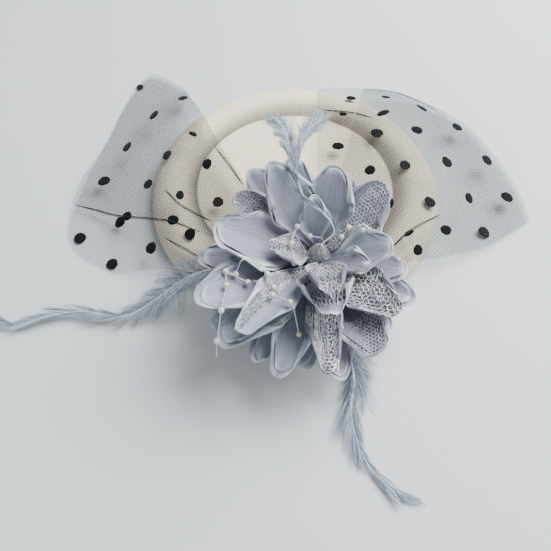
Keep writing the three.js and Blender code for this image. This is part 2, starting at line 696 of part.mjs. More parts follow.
fascinator.updateMatrixWorld(true);
for (const [name, threads] of Object.entries(pearlStrings)) {
  const geometry = stringGeometry(threads, flower.children);
  fascinator.add(named(`pearl_string_${name}`, geometry, materials.pearl));
}

export default fascinator;
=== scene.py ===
import math

import bpy
import numpy as np
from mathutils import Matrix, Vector
from mathutils.bvhtree import BVHTree


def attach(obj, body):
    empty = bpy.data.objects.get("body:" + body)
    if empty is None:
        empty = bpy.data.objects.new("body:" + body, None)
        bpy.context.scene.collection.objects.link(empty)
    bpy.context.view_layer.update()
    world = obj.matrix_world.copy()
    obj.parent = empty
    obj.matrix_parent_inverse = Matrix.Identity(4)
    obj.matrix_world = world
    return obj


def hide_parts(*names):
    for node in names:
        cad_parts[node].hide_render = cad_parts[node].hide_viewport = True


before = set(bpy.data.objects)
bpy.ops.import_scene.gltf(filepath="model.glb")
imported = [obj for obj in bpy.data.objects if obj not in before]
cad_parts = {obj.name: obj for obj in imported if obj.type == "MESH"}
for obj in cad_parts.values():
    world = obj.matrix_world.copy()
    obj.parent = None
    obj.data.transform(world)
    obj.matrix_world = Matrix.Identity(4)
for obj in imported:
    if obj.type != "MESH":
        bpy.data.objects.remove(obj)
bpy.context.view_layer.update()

MM = 0.001

# Camera

VIEW_PLACE = np.array([-9.7, -228.0, 284.0])
VIEW_TARGET = np.array([-9.7, -47.37, 0.0])
VIEW_WAY = VIEW_TARGET - VIEW_PLACE
FOCAL_PIXELS, IMAGE_PIXELS = 700.0, 551.0
SENSOR_WIDTH, NEAR_CLIP = 36.0, 0.01


def facing(way):
    """The turn that points a camera or a light along a direction."""
    return Vector(way).to_track_quat("-Z", "Y").to_euler()


camera = bpy.data.objects.new("camera", bpy.data.cameras.new("camera"))
bpy.context.scene.collection.objects.link(camera)
camera.data.sensor_width = SENSOR_WIDTH
camera.data.lens = SENSOR_WIDTH * FOCAL_PIXELS / IMAGE_PIXELS
camera.data.clip_start = NEAR_CLIP
camera.location = VIEW_PLACE * MM
camera.rotation_euler = facing(VIEW_WAY.tolist())
bpy.context.scene.camera = camera

VIEW_AHEAD = VIEW_WAY / np.linalg.norm(VIEW_WAY)
VIEW_RIGHT = np.array([1.0, 0.0, 0.0])
VIEW_UP = np.cross(VIEW_RIGHT, VIEW_AHEAD)


def sight(px, py):
    """Direction from the camera through a point of its picture, in pixels from the top left."""
    half = IMAGE_PIXELS / 2
    ray = VIEW_AHEAD * FOCAL_PIXELS + VIEW_RIGHT * (px - half) + VIEW_UP * (half - py)
    return ray / np.linalg.norm(ray)


# Sizes of the solids, in mm

GAP = 0.3
DISC_RADIUS, DISC_WALL = 72.5, 2.4
CREST_RADIUS, CENTRE_RADIUS = 60.0, 49.7
CENTRE_HEIGHT, CREST_HEIGHT, SPRING_HEIGHT, RIM_INSET = 10.9, 13.8, 3.0, 0.7
FOOT_RADIUS, PAD_THICKNESS, FOOT_GAP = 12.0, 4.0, 0.36
HUB_HEIGHT, HUB_RADIUS, HUB_TOP_RADIUS = 13.0, 6.0, 3.5
STALK_RADIUS, STALK_HEIGHT = 1.6, 20.0
FLOWER_BEARING, FLOWER_INSET, FLOWER_TILT = -80.5, 5.3, 12.0
PETAL_LENGTH, PETAL_WIDTH, PETAL_WALL, PETAL_BASE = 50.0, 28.0, 1.0, 2.4
LOWEST_ELEVATION, ELEVATION_STEP, LEVEL_HEIGHT, FIRST_LEVEL_HEIGHT = -5.0, 12.0, 2.0, 1.7
NET_WALL, NET_FOLD_GAP, NET_REACH, NET_PUFF = 1.0, 1.2, 160.0, 14.0
BRINK_RADIUS, CLOTH_RISE, DRAPE_ANGLE = (CREST_RADIUS + DISC_RADIUS) / 2, 1.0, 25.0
PEARL_RADIUS, THREAD_RADIUS, STRING_GAP = 1.5, 0.4, 0.7


def rad(degrees):
    return math.radians(degrees)


def lerp(a, b, t):
    return a + (b - a) * t


def circle(count):
    """Angles of evenly spaced points round a circle."""
    return np.linspace(0, 2 * math.pi, count, endpoint=False)


def unit(vectors):
    return vectors / (np.linalg.norm(vectors, axis=-1, keepdims=True) + 1e-12)


def ring_profile(inset, steps):
    """Radius and height of points over the disc's rolled ring, from its crease to its outer edge."""
    profile = []
    for i in range(steps):
        share = i / steps
        rise = (1 - math.cos(math.pi * share)) / 2
        height = lerp(CENTRE_HEIGHT, CREST_HEIGHT, rise)
        profile.append((lerp(CENTRE_RADIUS, CREST_RADIUS, share), height - inset))
    for i in range(steps + 1):
        turn = math.pi / 2 * i / steps
        profile.append((
            CREST_RADIUS + (DISC_RADIUS - CREST_RADIUS - inset) * math.sin(turn),
            SPRING_HEIGHT + (CREST_HEIGHT - SPRING_HEIGHT - inset) * math.cos(turn),
        ))
    return profile


TILT = rad(FLOWER_TILT)
FLOWER_REACH = CREST_RADIUS - FLOWER_INSET
FLOWER_SEAT = max(z + (r - FLOWER_REACH) * math.tan(TILT) for r, z in ring_profile(0, 4))
FLOWER = np.array([
    FLOWER_REACH * math.cos(rad(FLOWER_BEARING)),
    FLOWER_REACH * math.sin(rad(FLOWER_BEARING)),
    FLOWER_SEAT + GAP + PAD_THICKNESS / math.cos(TILT),
])


def tilted(points):
    """From the flower's own frame to the part's."""
    points = np.asarray(points, float)
    x, y, z = points[..., 0], points[..., 1], points[..., 2]
    c, s = math.cos(TILT), math.sin(TILT)
    return np.stack([x, y * c - z * s, y * s + z * c], -1) + FLOWER


def drape(x, y):
    """Height of cloth that lies on the disc and hangs over its edge to the floor."""
    fall = math.tan(rad(DRAPE_ANGLE)) * np.maximum(0, np.hypot(x, y) - BRINK_RADIUS)
    return np.maximum(CREST_HEIGHT + CLOTH_RISE - fall, GAP)


# Materials


def linear(code):
    """A colour code as the four linear values that a node takes."""
    value = [int(code[i:i + 2], 16) / 255 for i in (1, 3, 5)]
    return [v / 12.92 if v <= 0.04045 else ((v + 0.055) / 1.055) ** 2.4 for v in value] + [1.0]


class Finish:
    """A Principled material and short calls for the nodes that feed it."""

    def __init__(self, name, **sockets):
        self.material = bpy.data.materials.new(name)
        self.material.use_nodes = True
        self.tree = self.material.node_tree
        self.shader = self.tree.nodes["Principled BSDF"]
        for key, value in sockets.items():
            self.shader.inputs[key.replace("_", " ")].default_value = value

    def node(self, kind, inputs=None, **settings):
        node = self.tree.nodes.new(kind)
        for key, value in settings.items():
            setattr(node, key, value)
        for key, value in (inputs or {}).items():
            if isinstance(value, bpy.types.NodeSocket):
                self.tree.links.new(value, node.inputs[key])
            else:
                node.inputs[key].default_value = value
        return node

    def math(self, operation, a, b=0.0):
        return self.node("ShaderNodeMath", {0: a, 1: b}, operation=operation).outputs[0]

    def place(self):
        return self.node("ShaderNodeTexCoord").outputs["Object"]

    def uv(self):
        return self.node("ShaderNodeTexCoord").outputs["UV"]

    def stretched(self, vector, scale):
        return self.node("ShaderNodeMapping", {"Vector": vector, "Scale": scale}).outputs[0]

    def noise(self, vector, scale, detail=3.0, roughness=0.5):
        return self.node("ShaderNodeTexNoise", {
            "Vector": vector, "Scale": scale, "Detail": detail, "Roughness": roughness,
        }).outputs["Fac"]

    def wave(self, vector, scale, direction="X", distortion=0.0, detail=0.0):
        return self.node(
            "ShaderNodeTexWave",
            {"Vector": vector, "Scale": scale, "Distortion": distortion, "Detail": detail},
            wave_type="BANDS", bands_direction=direction,
        ).outputs["Fac"]

    def ramp(self, factor, stops):
        node = self.node("ShaderNodeValToRGB", {"Fac": factor})
        points = node.color_ramp.elements
        while len(points) < len(stops):
            points.new(0.5)
        for point, (at, code) in zip(points, stops):
            point.position = at
            point.color = linear(code) if isinstance(code, str) else [code, code, code, 1]
        return node.outputs["Color"]

    def mix(self, factor, a, b):
        node = self.node("ShaderNodeMix", {"Factor": factor}, data_type="RGBA")
        for key, value in ((6, a), (7, b)):
            if isinstance(value, bpy.types.NodeSocket):
                self.tree.links.new(value, node.inputs[key])
            else:
                node.inputs[key].default_value = linear(value) if isinstance(value, str) else value
        return node.outputs[2]

    def tinge(self, body, factor, low, high, most, code):
        """The colour body, turning to another by up to most as the factor goes from low to high."""
        return self.mix(self.ramp(factor, [(low, 0.0), (high, most)]), body, code)

    def shades(self):
        """The mesh's own shade attribute: red, green and blue as three values."""
        colour = self.node("ShaderNodeAttribute", attribute_name="shade").outputs["Color"]
        parts = self.node("ShaderNodeSeparateColor", {"Color": colour})
        return [parts.outputs[i] for i in range(3)]

    def bump(self, height, distance, strength=1.0, under=None):
        inputs = {"Height": height, "Distance": distance, "Strength": strength}
        if under is not None:
            inputs["Normal"] = under
        return self.node("ShaderNodeBump", inputs).outputs["Normal"]

    def set(self, **sockets):
        for key, socket in sockets.items():
            self.tree.links.new(socket, self.shader.inputs[key.replace("_", " ")])
        return self.material


def clouded(name, scale, detail, roughness, colours, bump=None, also=None, **sockets):
    """A finish whose colour follows one noise, as do its bump and the sockets in also."""
    f = Finish(name, **sockets)
    cloud = f.noise(f.place(), scale, detail, roughness)
    found = {key: f.ramp(cloud, stops) for key, stops in (also or {}).items()}
    if bump:
        found["Normal"] = f.bump(cloud, *bump)
    return f.set(Base_Color=f.ramp(cloud, colours), **found)


def chiffon_finish():
    f = Finish("chiffon", Roughness=0.45, Sheen_Weight=0.3, Sheen_Roughness=0.3, Specular_IOR_Level=0.5)
    edge, along, tint = f.shades()
    uv = f.uv()
    # Darker towards the petal's root: painted shade where the petals crowd round the hub.
    body = f.ramp(along, [(0.0, "#21242e"), (0.2, "#484b5c"), (0.55, "#6e7182"), (1.0, "#7a7f8e")])
    streaks = f.noise(f.stretched(uv, (11, 1.6, 1)), 1.0, 4.0, 0.6)
    body = f.tinge(body, streaks, 0.4, 0.75, 0.35, "#9da2b0")
    cloud = f.noise(f.place(), 90, 3.0)
    body = f.tinge(body, cloud, 0.35, 0.75, 0.5, "#837a93")
    body = f.mix(f.math("MULTIPLY", tint, 0.4), body, "#94a1ae")
    # Lighter at the rim: the rolled double layer, with a painted highlight along it.
    body = f.tinge(body, edge, 0.15, 0.95, 0.8, "#ccd5dc")
    weave = f.math("MULTIPLY", f.wave(uv, 45, "X"), f.wave(uv, 70, "Y"))
    normal = f.bump(weave, 0.0001, 0.25)
    normal = f.bump(streaks, 0.0008, 0.5, normal)
    normal = f.bump(f.noise(f.place(), 260, 3.0), 0.0005, 0.4, normal)
    rough = f.ramp(cloud, [(0.3, 0.42), (0.7, 0.6)])
    return f.set(Base_Color=body, Normal=normal, Roughness=rough)


def lace_finish():
    f = Finish("lace", Roughness=0.42, Sheen_Weight=0.2, Metallic=0.15)
    cloud = f.noise(f.place(), 420, 3.0, 0.6)
    patch = f.noise(f.place(), 130, 2.0)
    # Silver thread flecked with near white at random; the whitest flecks are painted glints.
    body = f.ramp(cloud, [(0.25, "#9699a4"), (0.42, "#d0d2d8"), (0.58, "#fbfbfb"), (0.9, "#ffffff")])
    body = f.mix(f.ramp(patch, [(0.4, 0.6), (0.56, 0.0)]), body, "#848692")
    # Grey by the mesh's third shade value: painted shade on lace that lies in shade.
    body = f.mix(f.shades()[2], body, "#777b8b")
    normal = f.bump(f.wave(f.place(), 900, "DIAGONAL", 2.0, 1.0), 0.0001, 0.6)
    return f.set(Base_Color=body, Normal=normal, Roughness=f.ramp(cloud, [(0.3, 0.5), (0.8, 0.28)]))


def linen_finish():
    f = Finish("disc_linen", Roughness=0.82, Sheen_Weight=0.15)
    uv = f.uv()
    drift = f.noise(uv, 60, 2.0)
    across = f.wave(uv, 310, "X", 0.9, 1.0)
    along = f.wave(uv, 310, "Y", 0.9, 1.0)
    weave = f.math("MULTIPLY", across, along)
    threads = f.math("ADD", f.math("MULTIPLY", across, 0.5), f.math("MULTIPLY", along, 0.5))
    slubs = f.noise(f.stretched(uv, (1500, 120, 1)), 1.0, 2.0)
    slubs_across = f.noise(f.stretched(uv, (120, 1500, 1)), 1.0, 2.0)
    body = f.ramp(threads, [(0.1, "#c6b899"), (0.45, "#efe2c8"), (0.9, "#f9efd8")])
    body = f.tinge(body, slubs, 0.5, 0.8, 0.5, "#fbf7ee")
    body = f.tinge(body, slubs_across, 0.5, 0.8, 0.4, "#d6cdbf")
    body = f.tinge(body, drift, 0.3, 0.75, 0.25, "#e8e2d8")
    # Darker along the crease at the foot of the rolled ring and up its inner wall: painted shade.
    x, y = f.node("ShaderNodeSeparateXYZ", {"Vector": f.place()}).outputs[:2]
    reach = f.math("SQRT", f.math("ADD", f.math("MULTIPLY", x, x), f.math("MULTIPLY", y, y)))
    at = f.math("DIVIDE", reach, DISC_RADIUS * MM)
    crease = CENTRE_RADIUS / DISC_RADIUS
    crease_shade = [(-0.014, 0.0), (0.0, 0.95), (0.03, 0.7), (0.07, 0.3), (0.12, 0.0)]
    body = f.mix(f.ramp(at, [(crease + step, much) for step, much in crease_shade]), body, "#6b6053")
    normal = f.bump(weave, 0.0003, 0.8)
    normal = f.bump(f.noise(uv, 1100, 2.0), 0.00008, 0.5, normal)
    return f.set(Base_Color=body, Normal=normal, Roughness=f.ramp(slubs, [(0.3, 0.75), (0.7, 0.9)]))


def metal_finish():
    f = Finish("clip_metal", Roughness=0.32, Metallic=1.0)
    place = f.place()
    brush = f.noise(f.stretched(place, (30, 2500, 2500)), 1.0, 3.0)
    wear = f.noise(place, 150, 4.0)
    body = f.tinge(f.ramp(brush, [(0.3, "#9da1a6"), (0.7, "#c9ccd0")]), wear, 0.45, 0.75, 0.6, "#85888c")
    rough = f.ramp(wear, [(0.3, 0.25), (0.8, 0.5)])
    return f.set(Base_Color=body, Normal=f.bump(brush, 0.00006, 0.5), Roughness=rough)


def feather_finish():
    f = Finish("feather", Roughness=0.6, Sheen_Weight=0.35, Sheen_Roughness=0.4)
    along, tint = f.shades()[1:]
    body = f.ramp(along, [(0.0, "#5f7081"), (0.3, "#66798d"), (0.5, "#8092a4"), (1.0, "#8fa6b8")])
    # Random barbs, and the shaft, turn near white: painted highlights.
    body = f.tinge(body, tint, 0.45, 0.95, 0.9, "#dde5eb")
    cloud = f.noise(f.place(), 300, 3.0)
    body = f.tinge(body, cloud, 0.4, 0.8, 0.45, "#6e798c")
    return f.set(Base_Color=body, Roughness=f.ramp(cloud, [(0.3, 0.5), (0.8, 0.7)]))


def thread_finish():
    f = Finish("silver_thread", Roughness=0.3, Metallic=0.7)
    twist = f.wave(f.place(), 700, "DIAGONAL", 1.5, 1.0)
    body = f.ramp(twist, [(0.2, "#a9aeb8"), (0.8, "#eef0f3")])
    return f.set(Base_Color=body, Normal=f.bump(twist, 0.0001, 0.6))


chiffon = chiffon_finish()
lace = lace_finish()
linen = linen_finish()
felt = clouded("felt", 1400, 4.0, 0.7, [(0.3, "#767b8c"), (0.7, "#989dad")], (0.0003, 0.7),
               {"Roughness": [(0.3, 0.88), (0.7, 1.0)]}, Roughness=0.95, Sheen_Weight=0.3)
metal = metal_finish()
net_thread = clouded("net_thread", 300, 2.0, 0.5, [(0.3, "#101116"), (0.8, "#2c2e37")], Roughness=0.55)
net_haze = clouded("net_haze", 700, 3.0, 0.7, [(0.3, "#0f1015"), (0.8, "#3a3c47")],
                   also={"Alpha": [(0.3, 0.05), (0.8, 0.11)]}, Roughness=0.8, Alpha=0.07)
net_flock = clouded("net_flock", 2600, 3.0, 0.7, [(0.3, "#020204"), (0.8, "#0b0d11")], (0.0002, 0.8),
                    {"Roughness": [(0.3, 0.8), (0.8, 1.0)]}, Roughness=0.9, Specular_IOR_Level=0.15,
                    Sheen_Weight=0.04, Sheen_Roughness=0.5)
feather = feather_finish()
pearl = clouded("pearl", 500, 2.0, 0.5, [(0.3, "#b9b3a8"), (0.6, "#d2cdc4"), (0.85, "#c5c3cb")],
                also={"Roughness": [(0.3, 0.14), (0.8, 0.24)]}, Roughness=0.18, Coat_Weight=0.6,
                Coat_Roughness=0.08, Sheen_Weight=0.2)
silver_thread = thread_finish()

# Mesh helpers


def listed(faces):
    return [face for group in faces for face in np.asarray(group).tolist()]


def piece(name, made, finish, node):
    """A mesh that stands for a node and rides on the body.

    made is its points in mm and lists of faces, and maybe its shade and uv."""
    points, faces, shade, uv = (*made, None, None)[:4]
    mesh = bpy.data.meshes.new(name)
    points = np.asarray(points, float).reshape(-1, 3) * MM
    mesh.from_pydata(points.tolist(), [], listed(faces))
    mesh.polygons.foreach_set("use_smooth", [True] * len(mesh.polygons))
    if shade is not None:
        colour = np.concatenate([np.asarray(shade, float).reshape(-1, 3), np.ones((len(points), 1))], 1)
        mesh.attributes.new("shade", "FLOAT_COLOR", "POINT").data.foreach_set("color", colour.ravel())
    if uv is not None:
        loops = np.empty(len(mesh.loops), int)
        mesh.loops.foreach_get("vertex_index", loops)
        layer = mesh.uv_layers.new(name="UVMap")
        layer.data.foreach_set("uv", np.asarray(uv, float).reshape(-1, 2)[loops].ravel())
    mesh.materials.append(finish)
    thing = bpy.data.objects.new(name, mesh)
    bpy.context.scene.collection.objects.link(thing)
    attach(thing, "root")
    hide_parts(node)
    return thing


def grid_faces(rows, columns, flip=False, wrap=False):
    """Quads of a grid of rows x columns points. wrap joins the last row to the first."""
    i = np.arange(rows if wrap else rows - 1)
    j = np.arange(columns - 1)
    a = (i[:, None] * columns + j[None, :]).ravel()
    b = (((i + 1) % rows)[:, None] * columns + j[None, :]).ravel()
    quads = np.stack([a, b, b + 1, a + 1], 1)
    return quads[:, ::-1] if flip else quads


def shell(top, under):
    """Points and faces of a closed thin body from two matching grids, rim included."""
    rows, columns = top.shape[:2]
    count = rows * columns
    faces = [grid_faces(rows, columns, flip=True), grid_faces(rows, columns) + count]
    loop = [i * columns for i in range(rows)]
    loop += [(rows - 1) * columns + j for j in range(1, columns)]
    loop += [i * columns + columns - 1 for i in range(rows - 2, -1, -1)]
    loop += [j for j in range(columns - 2, 0, -1)]
    loop = np.array(loop)
    after = np.roll(loop, -1)
    faces.append(np.stack([loop, after, after + count, loop + count], 1))
    return np.concatenate([top.reshape(-1, 3), under.reshape(-1, 3)]), faces


def normals(grid):
    return unit(np.cross(np.gradient(grid, axis=1), np.gradient(grid, axis=0)))


def strands(paths, radii, sides=3, flat=1.0, lean=(0.05, 0.03, 1.0)):
    """Points and faces of open tubes along paths of N x S points.

    flat squashes them, and lean is what their flat side faces."""
    paths = np.asarray(paths, float)
    count, steps = paths.shape[:2]
    radii = np.broadcast_to(radii, (count, steps))
    ahead = unit(np.gradient(paths, axis=1))
    side = unit(np.cross(ahead, np.broadcast_to(lean, ahead.shape)))
    lift = np.cross(side, ahead)
    rings = []
    for k in range(sides):
        turn = 2 * math.pi * (k + 0.25) / sides
        rings.append(paths + radii[..., None] * (side * math.cos(turn) + lift * math.sin(turn) * flat))
    points = np.stack(rings, 2)
    n = np.arange(count)[:, None, None]
    s = np.arange(steps - 1)[None, :, None]
    k = np.arange(sides)[None, None, :]
    at = (n * steps + s) * sides
    a, b = at + k, at + (k + 1) % sides
    quads = np.stack([a.ravel(), (a + sides).ravel(), (b + sides).ravel(), b.ravel()], 1)
    return points.reshape(-1, 3), [quads]


def joined(parts):
    """One set of points and faces from several."""
    points, faces, start = [], [], 0
    for body, groups in parts:
        points.append(body)
        faces += [np.asarray(group) + start for group in groups]
        start += len(body)
    return np.concatenate(points), faces


def smooth_path(knots, count):
    """Smooth curve through the knots, as count points, with its place among the knots."""
    knots = np.asarray(knots, float)
    padded = np.concatenate([[2 * knots[0] - knots[1]], knots, [2 * knots[-1] - knots[-2]]])
    at = np.linspace(0, len(knots) - 1, count)
    i = np.minimum(at.astype(int), len(knots) - 2)
    t = (at - i)[:, None]
    p0, p1, p2, p3 = (padded[i + k] for k in range(4))
    curve = 0.5 * (2 * p1 + (p2 - p0) * t + (2 * p0 - 5 * p1 + 4 * p2 - p3) * t ** 2
                   + (3 * p1 - p0 - 3 * p2 + p3) * t ** 3)
    return curve, at


def tree_of(points, faces):
    """What rays hit, in mm."""
    return BVHTree.FromPolygons([Vector(p) for p in points.tolist()], listed(faces))


# Disc


SINK, SINK_FADE, GROOVE, GROOVE_WIDTH = 1.1, 6.4, 0.4, 1.8
DISC_SIDES, FOLD_STEPS = 128, 20


def sunk(r):
    """How far the cover lies under the solid's top: a sunk middle with a groove along the rolled ring."""
    if r > CENTRE_RADIUS:
        share = min((r - CENTRE_RADIUS) / SINK_FADE, 1.0)
        return (SINK + GROOVE) * (1 - share * share * (3 - 2 * share))
    return SINK + GROOVE * max(0.0, 1 - (CENTRE_RADIUS - r) / GROOVE_WIDTH) ** 2


def make_disc():
    sides = DISC_SIDES
    centre = [(r, CENTRE_HEIGHT) for r in (0.0, 6.0, 14.0, 24.0, 34.0, 43.0, 46.5, 48.0, 48.7, 49.3)]
    outside = [(r, z - sunk(r)) for r, z in centre + ring_profile(0, FOLD_STEPS)]
    rim = DISC_RADIUS - RIM_INSET
    outside += [(DISC_RADIUS - 0.15, 1.6), (rim + 0.1, 0.35), (rim - 0.3, 0.0)]
    inside = [(r, z - DISC_WALL) for r, z in centre] + ring_profile(DISC_WALL, FOLD_STEPS)
    inside += [(rim - DISC_WALL, 0.9), (rim - DISC_WALL + 0.3, 0.0)]
    profile = np.array(outside + inside[::-1])
    turn = circle(sides)
    r, z = profile[None, :, 0], profile[None, :, 1]
    grid = np.stack([
        r * np.cos(turn)[:, None],
        r * np.sin(turn)[:, None],
        np.broadcast_to(z, (sides, len(profile))),
    ], -1)
    step = np.hypot(np.diff(profile[:, 0]), np.diff(profile[:, 1]))
    run = np.concatenate([[0], np.cumsum(step)])
    half = len(outside)
    run[half:] = run[-1] - run[half:]
    uv = np.stack([run[None, :] * np.cos(turn)[:, None], run[None, :] * np.sin(turn)[:, None]], -1) * MM
    faces = [grid_faces(sides, len(profile), wrap=True, flip=True)]
    piece("disc_body", (grid, faces, None, uv), linen, "disc")


make_disc()

# Foot under the flower


HUB_SIDES, PAD_SIDES, PAD_RINGS, PAD_BULGE = 32, 48, 9, 0.5


def make_foot():
    """A pad that follows the disc's ring below and the flower's tilt above, with the hub and its stalk."""
    sides, rings = PAD_SIDES, PAD_RINGS
    ring = np.array([(0.0, CENTRE_HEIGHT)] + ring_profile(0, 24))
    order = np.argsort(ring[:, 0])
    turn = circle(sides)
    shares = np.sin(np.linspace(0, math.pi / 2, rings))
    top, under = [], []
    for share in shares:
        x = FLOWER[0] + FOOT_RADIUS * share * np.cos(turn)
        y = FLOWER[1] + FOOT_RADIUS * share * np.sin(turn)
        high = FLOWER[2] + (y - FLOWER[1]) * math.tan(TILT)
        low = np.interp(np.hypot(x, y), ring[order, 0], ring[order, 1]) + FOOT_GAP
        bulge = PAD_BULGE * (1 - math.sqrt(max(0, 1 - share ** 8)))
        top.append(np.stack([x, y, high - 0.1 - bulge * np.maximum(high - low, 0) * 0.9], -1))
        under.append(np.stack([x, y, low], -1))
    top = np.array(top).transpose(1, 0, 2)
    under = np.array(under).transpose(1, 0, 2)
    loop = np.concatenate([top, under[:, ::-1]], 1)
    pad = (loop.reshape(-1, 3), [grid_faces(sides, loop.shape[1], wrap=True, flip=True)])
    profile = [
        (0.0, -1.0), (HUB_RADIUS, -1.0), (HUB_RADIUS, 0.0), (HUB_RADIUS - 0.3, 1.0),
        (HUB_TOP_RADIUS + 0.3, HUB_HEIGHT - 1.0), (HUB_TOP_RADIUS, HUB_HEIGHT - 0.3),
        (STALK_RADIUS, HUB_HEIGHT), (STALK_RADIUS, STALK_HEIGHT - 0.6),
        (STALK_RADIUS * 0.6, STALK_HEIGHT), (0.0, STALK_HEIGHT),
    ]
    turn = circle(HUB_SIDES)
    hub = np.array([[(r * math.cos(a), r * math.sin(a), z) for r, z in profile] for a in turn])
    hub = (tilted(hub).reshape(-1, 3), [grid_faces(HUB_SIDES, len(profile), wrap=True)])
    piece("foot_pad", joined([pad, hub]), felt, "flower_foot")


make_foot()

# Petals

# kind, level, bearing, reach and breadth as shares of the whole, fold, curl
PETALS = [
    ("chiffon", 0.0, -149, 0.98, 0.76, 50, 6),
    ("chiffon", 0.7, -121, 0.97, 0.68, 50, 6),
    ("chiffon", 0.0, -98, 0.86, 0.68, 50, 8),
    ("chiffon", 0.7, -81, 1.00, 0.72, 50, 8),
    ("chiffon", 0.0, -46, 0.76, 0.78, 50, 8),
    ("chiffon", 0.7, -25, 0.80, 0.80, 50, 6),
    ("chiffon", 0.9, 42, 0.74, 0.80, 50, 8),
    ("chiffon", 1.6, 71, 0.72, 0.80, 50, 8),
    ("chiffon", 0.9, 103, 0.90, 0.72, 60, 8),
    ("chiffon", 1.7, 129, 0.90, 0.84, 50, 10),
    ("chiffon", 0.4, 157, 0.86, 0.80, 60, 8),
    ("chiffon", 1.6, 184, 0.96, 0.78, 60, 0),
    ("chiffon", 0.8, -165, 0.96, 0.76, 50, 4),
    ("chiffon", 2.0, -133, 1.14, 0.86, 60, -2),
    ("chiffon", 1.4, -108, 1.08, 0.72, 90, 2),
    ("lace", 2.5, -88, 1.14, 0.62, 90, 0),
    ("chiffon", 1.4, -63, 0.94, 1.08, 90, 6),
    ("lace", 2.4, -43, 0.82, 0.84, 60, -4),
    ("chiffon", 1.5, -12, 0.68, 0.84, 60, 0),
    ("chiffon", 2.8, -151, 1.16, 1.04, 60, -6),
    ("lace", 2.6, 149, 0.84, 0.84, 70, 8),
    ("lace", 2.3, 44, 0.79, 0.92, 70, 10),
    ("chiffon", 2.9, 78, 0.74, 0.90, 80, 12),
    ("chiffon", 3.0, -1, 0.60, 0.86, 70, 0),
    ("chiffon", 3.4, 180, 0.96, 1.02, 80, 0),
    ("chiffon", 3.8, 125, 0.88, 0.88, 80, 6),
    ("lace", 3.5, -128, 1.12, 0.70, 80, -14),
    ("chiffon", 4.6, -36, 0.56, 0.60, 90, 0),
    ("lace", 4.1, -85, 0.82, 0.92, 90, -4),
    ("chiffon", 4.6, 100, 0.50, 0.56, 90, 8),
    ("lace", 5.4, -84, 0.76, 0.68, 90, -20),
    ("lace", 4.8, -170, 0.46, 0.6, 80, -10),
]
PETAL_PEAK, PETAL_TIP, PETAL_TIP_BOW, PETAL_SPREAD = 0.62, 0.66, 0.15, 1.5
CORNER_ROUNDING = 0.24
# How far the rolled rim thickens, and how far in the painted rim highlight reaches.
RIM_REACH, RIM_HIGHLIGHT_REACH = 0.6, 2.3
WAVE_SEED, UPPER_SEED_STEP, SHADE_SEED, UPPER_SEED, LACE_SEED, FLOSS_SEED = 100, 40, 500, 700, 900, 1500
HEART_SEED, SPOT_SEED = 77, 60


def petal_half(breadth, v):
    """Half the petal's width at v, which goes from 0 at the root to 1 at the tip."""
    half = PETAL_WIDTH * breadth / 2
    rise = np.sin(math.pi / 2 * np.clip(v / PETAL_PEAK, 0, 1)) ** PETAL_SPREAD
    past = np.clip((v - PETAL_PEAK) / (1 - PETAL_PEAK), 0, 1)
    narrowed = half * (1 - (1 - PETAL_TIP) * past ** 2)
    return np.where(v < PETAL_PEAK, lerp(PETAL_BASE / 2, half, rise), narrowed)


def petal_point(row, u, v):
    """The petal's middle surface, for u from -1 to 1 across it and v from 0 to 1 along it."""
    kind, level, bearing, share, breadth, fold, curl = row
    reach = PETAL_LENGTH * share
    s = reach * v * (1 - (PETAL_TIP_BOW * u ** 2 + CORNER_ROUNDING * u ** 6) * v ** 2)
    start = rad(LOWEST_ELEVATION + ELEVATION_STEP * level)
    bend = rad(curl or 0.01) / reach
    slope = start + bend * s
    rise = FIRST_LEVEL_HEIGHT + LEVEL_HEIGHT * level
    root = lerp(HUB_RADIUS, HUB_TOP_RADIUS, rise / HUB_HEIGHT) + GAP + PETAL_WALL / 2
    out = root + (np.sin(slope) - math.sin(start)) / bend
    up = rise + (math.cos(start) - np.cos(slope)) / bend
    half_fold = rad(fold) / 2
    arc = petal_half(breadth, v) / half_fold
    sideways = arc * np.sin(u * half_fold)
    lifted = arc * (1 - np.cos(u * half_fold))
    flat = out - lifted * np.sin(slope)
    b = rad(bearing)
    return tilted(np.stack([
        flat * math.cos(b) - sideways * math.sin(b),
        flat * math.sin(b) + sideways * math.cos(b),
        up + lifted * np.cos(slope),
    ], -1))


def petal_waves(seed, u, v):
    """How far the cloth stands off its middle surface: soft pleats from the root and a wavy margin."""
    dice = np.random.default_rng(seed)
    body = np.sin(math.pi * v) ** 0.5
    pleats = 0.3 * np.sin(u * dice.uniform(3.2, 5.0) + dice.uniform(0, 6)) * body
    slant = u * dice.uniform(8, 12) + v * dice.uniform(-3, 3) + dice.uniform(0, 6)
    pleats = pleats + 0.14 * np.sin(slant) * body
    ripple = np.sin(v * dice.uniform(13, 19) + np.sign(u) * dice.uniform(0, 3) + dice.uniform(0, 6))
    ripple = ripple + 0.6 * np.sin(v * dice.uniform(24, 32) + u * 3 + dice.uniform(0, 6))
    tip = np.sin(u * dice.uniform(5, 9) + dice.uniform(0, 6))
    side = np.abs(u) ** 5 * v
    return pleats + 0.65 * ripple * side + 0.6 * tip * v ** 8


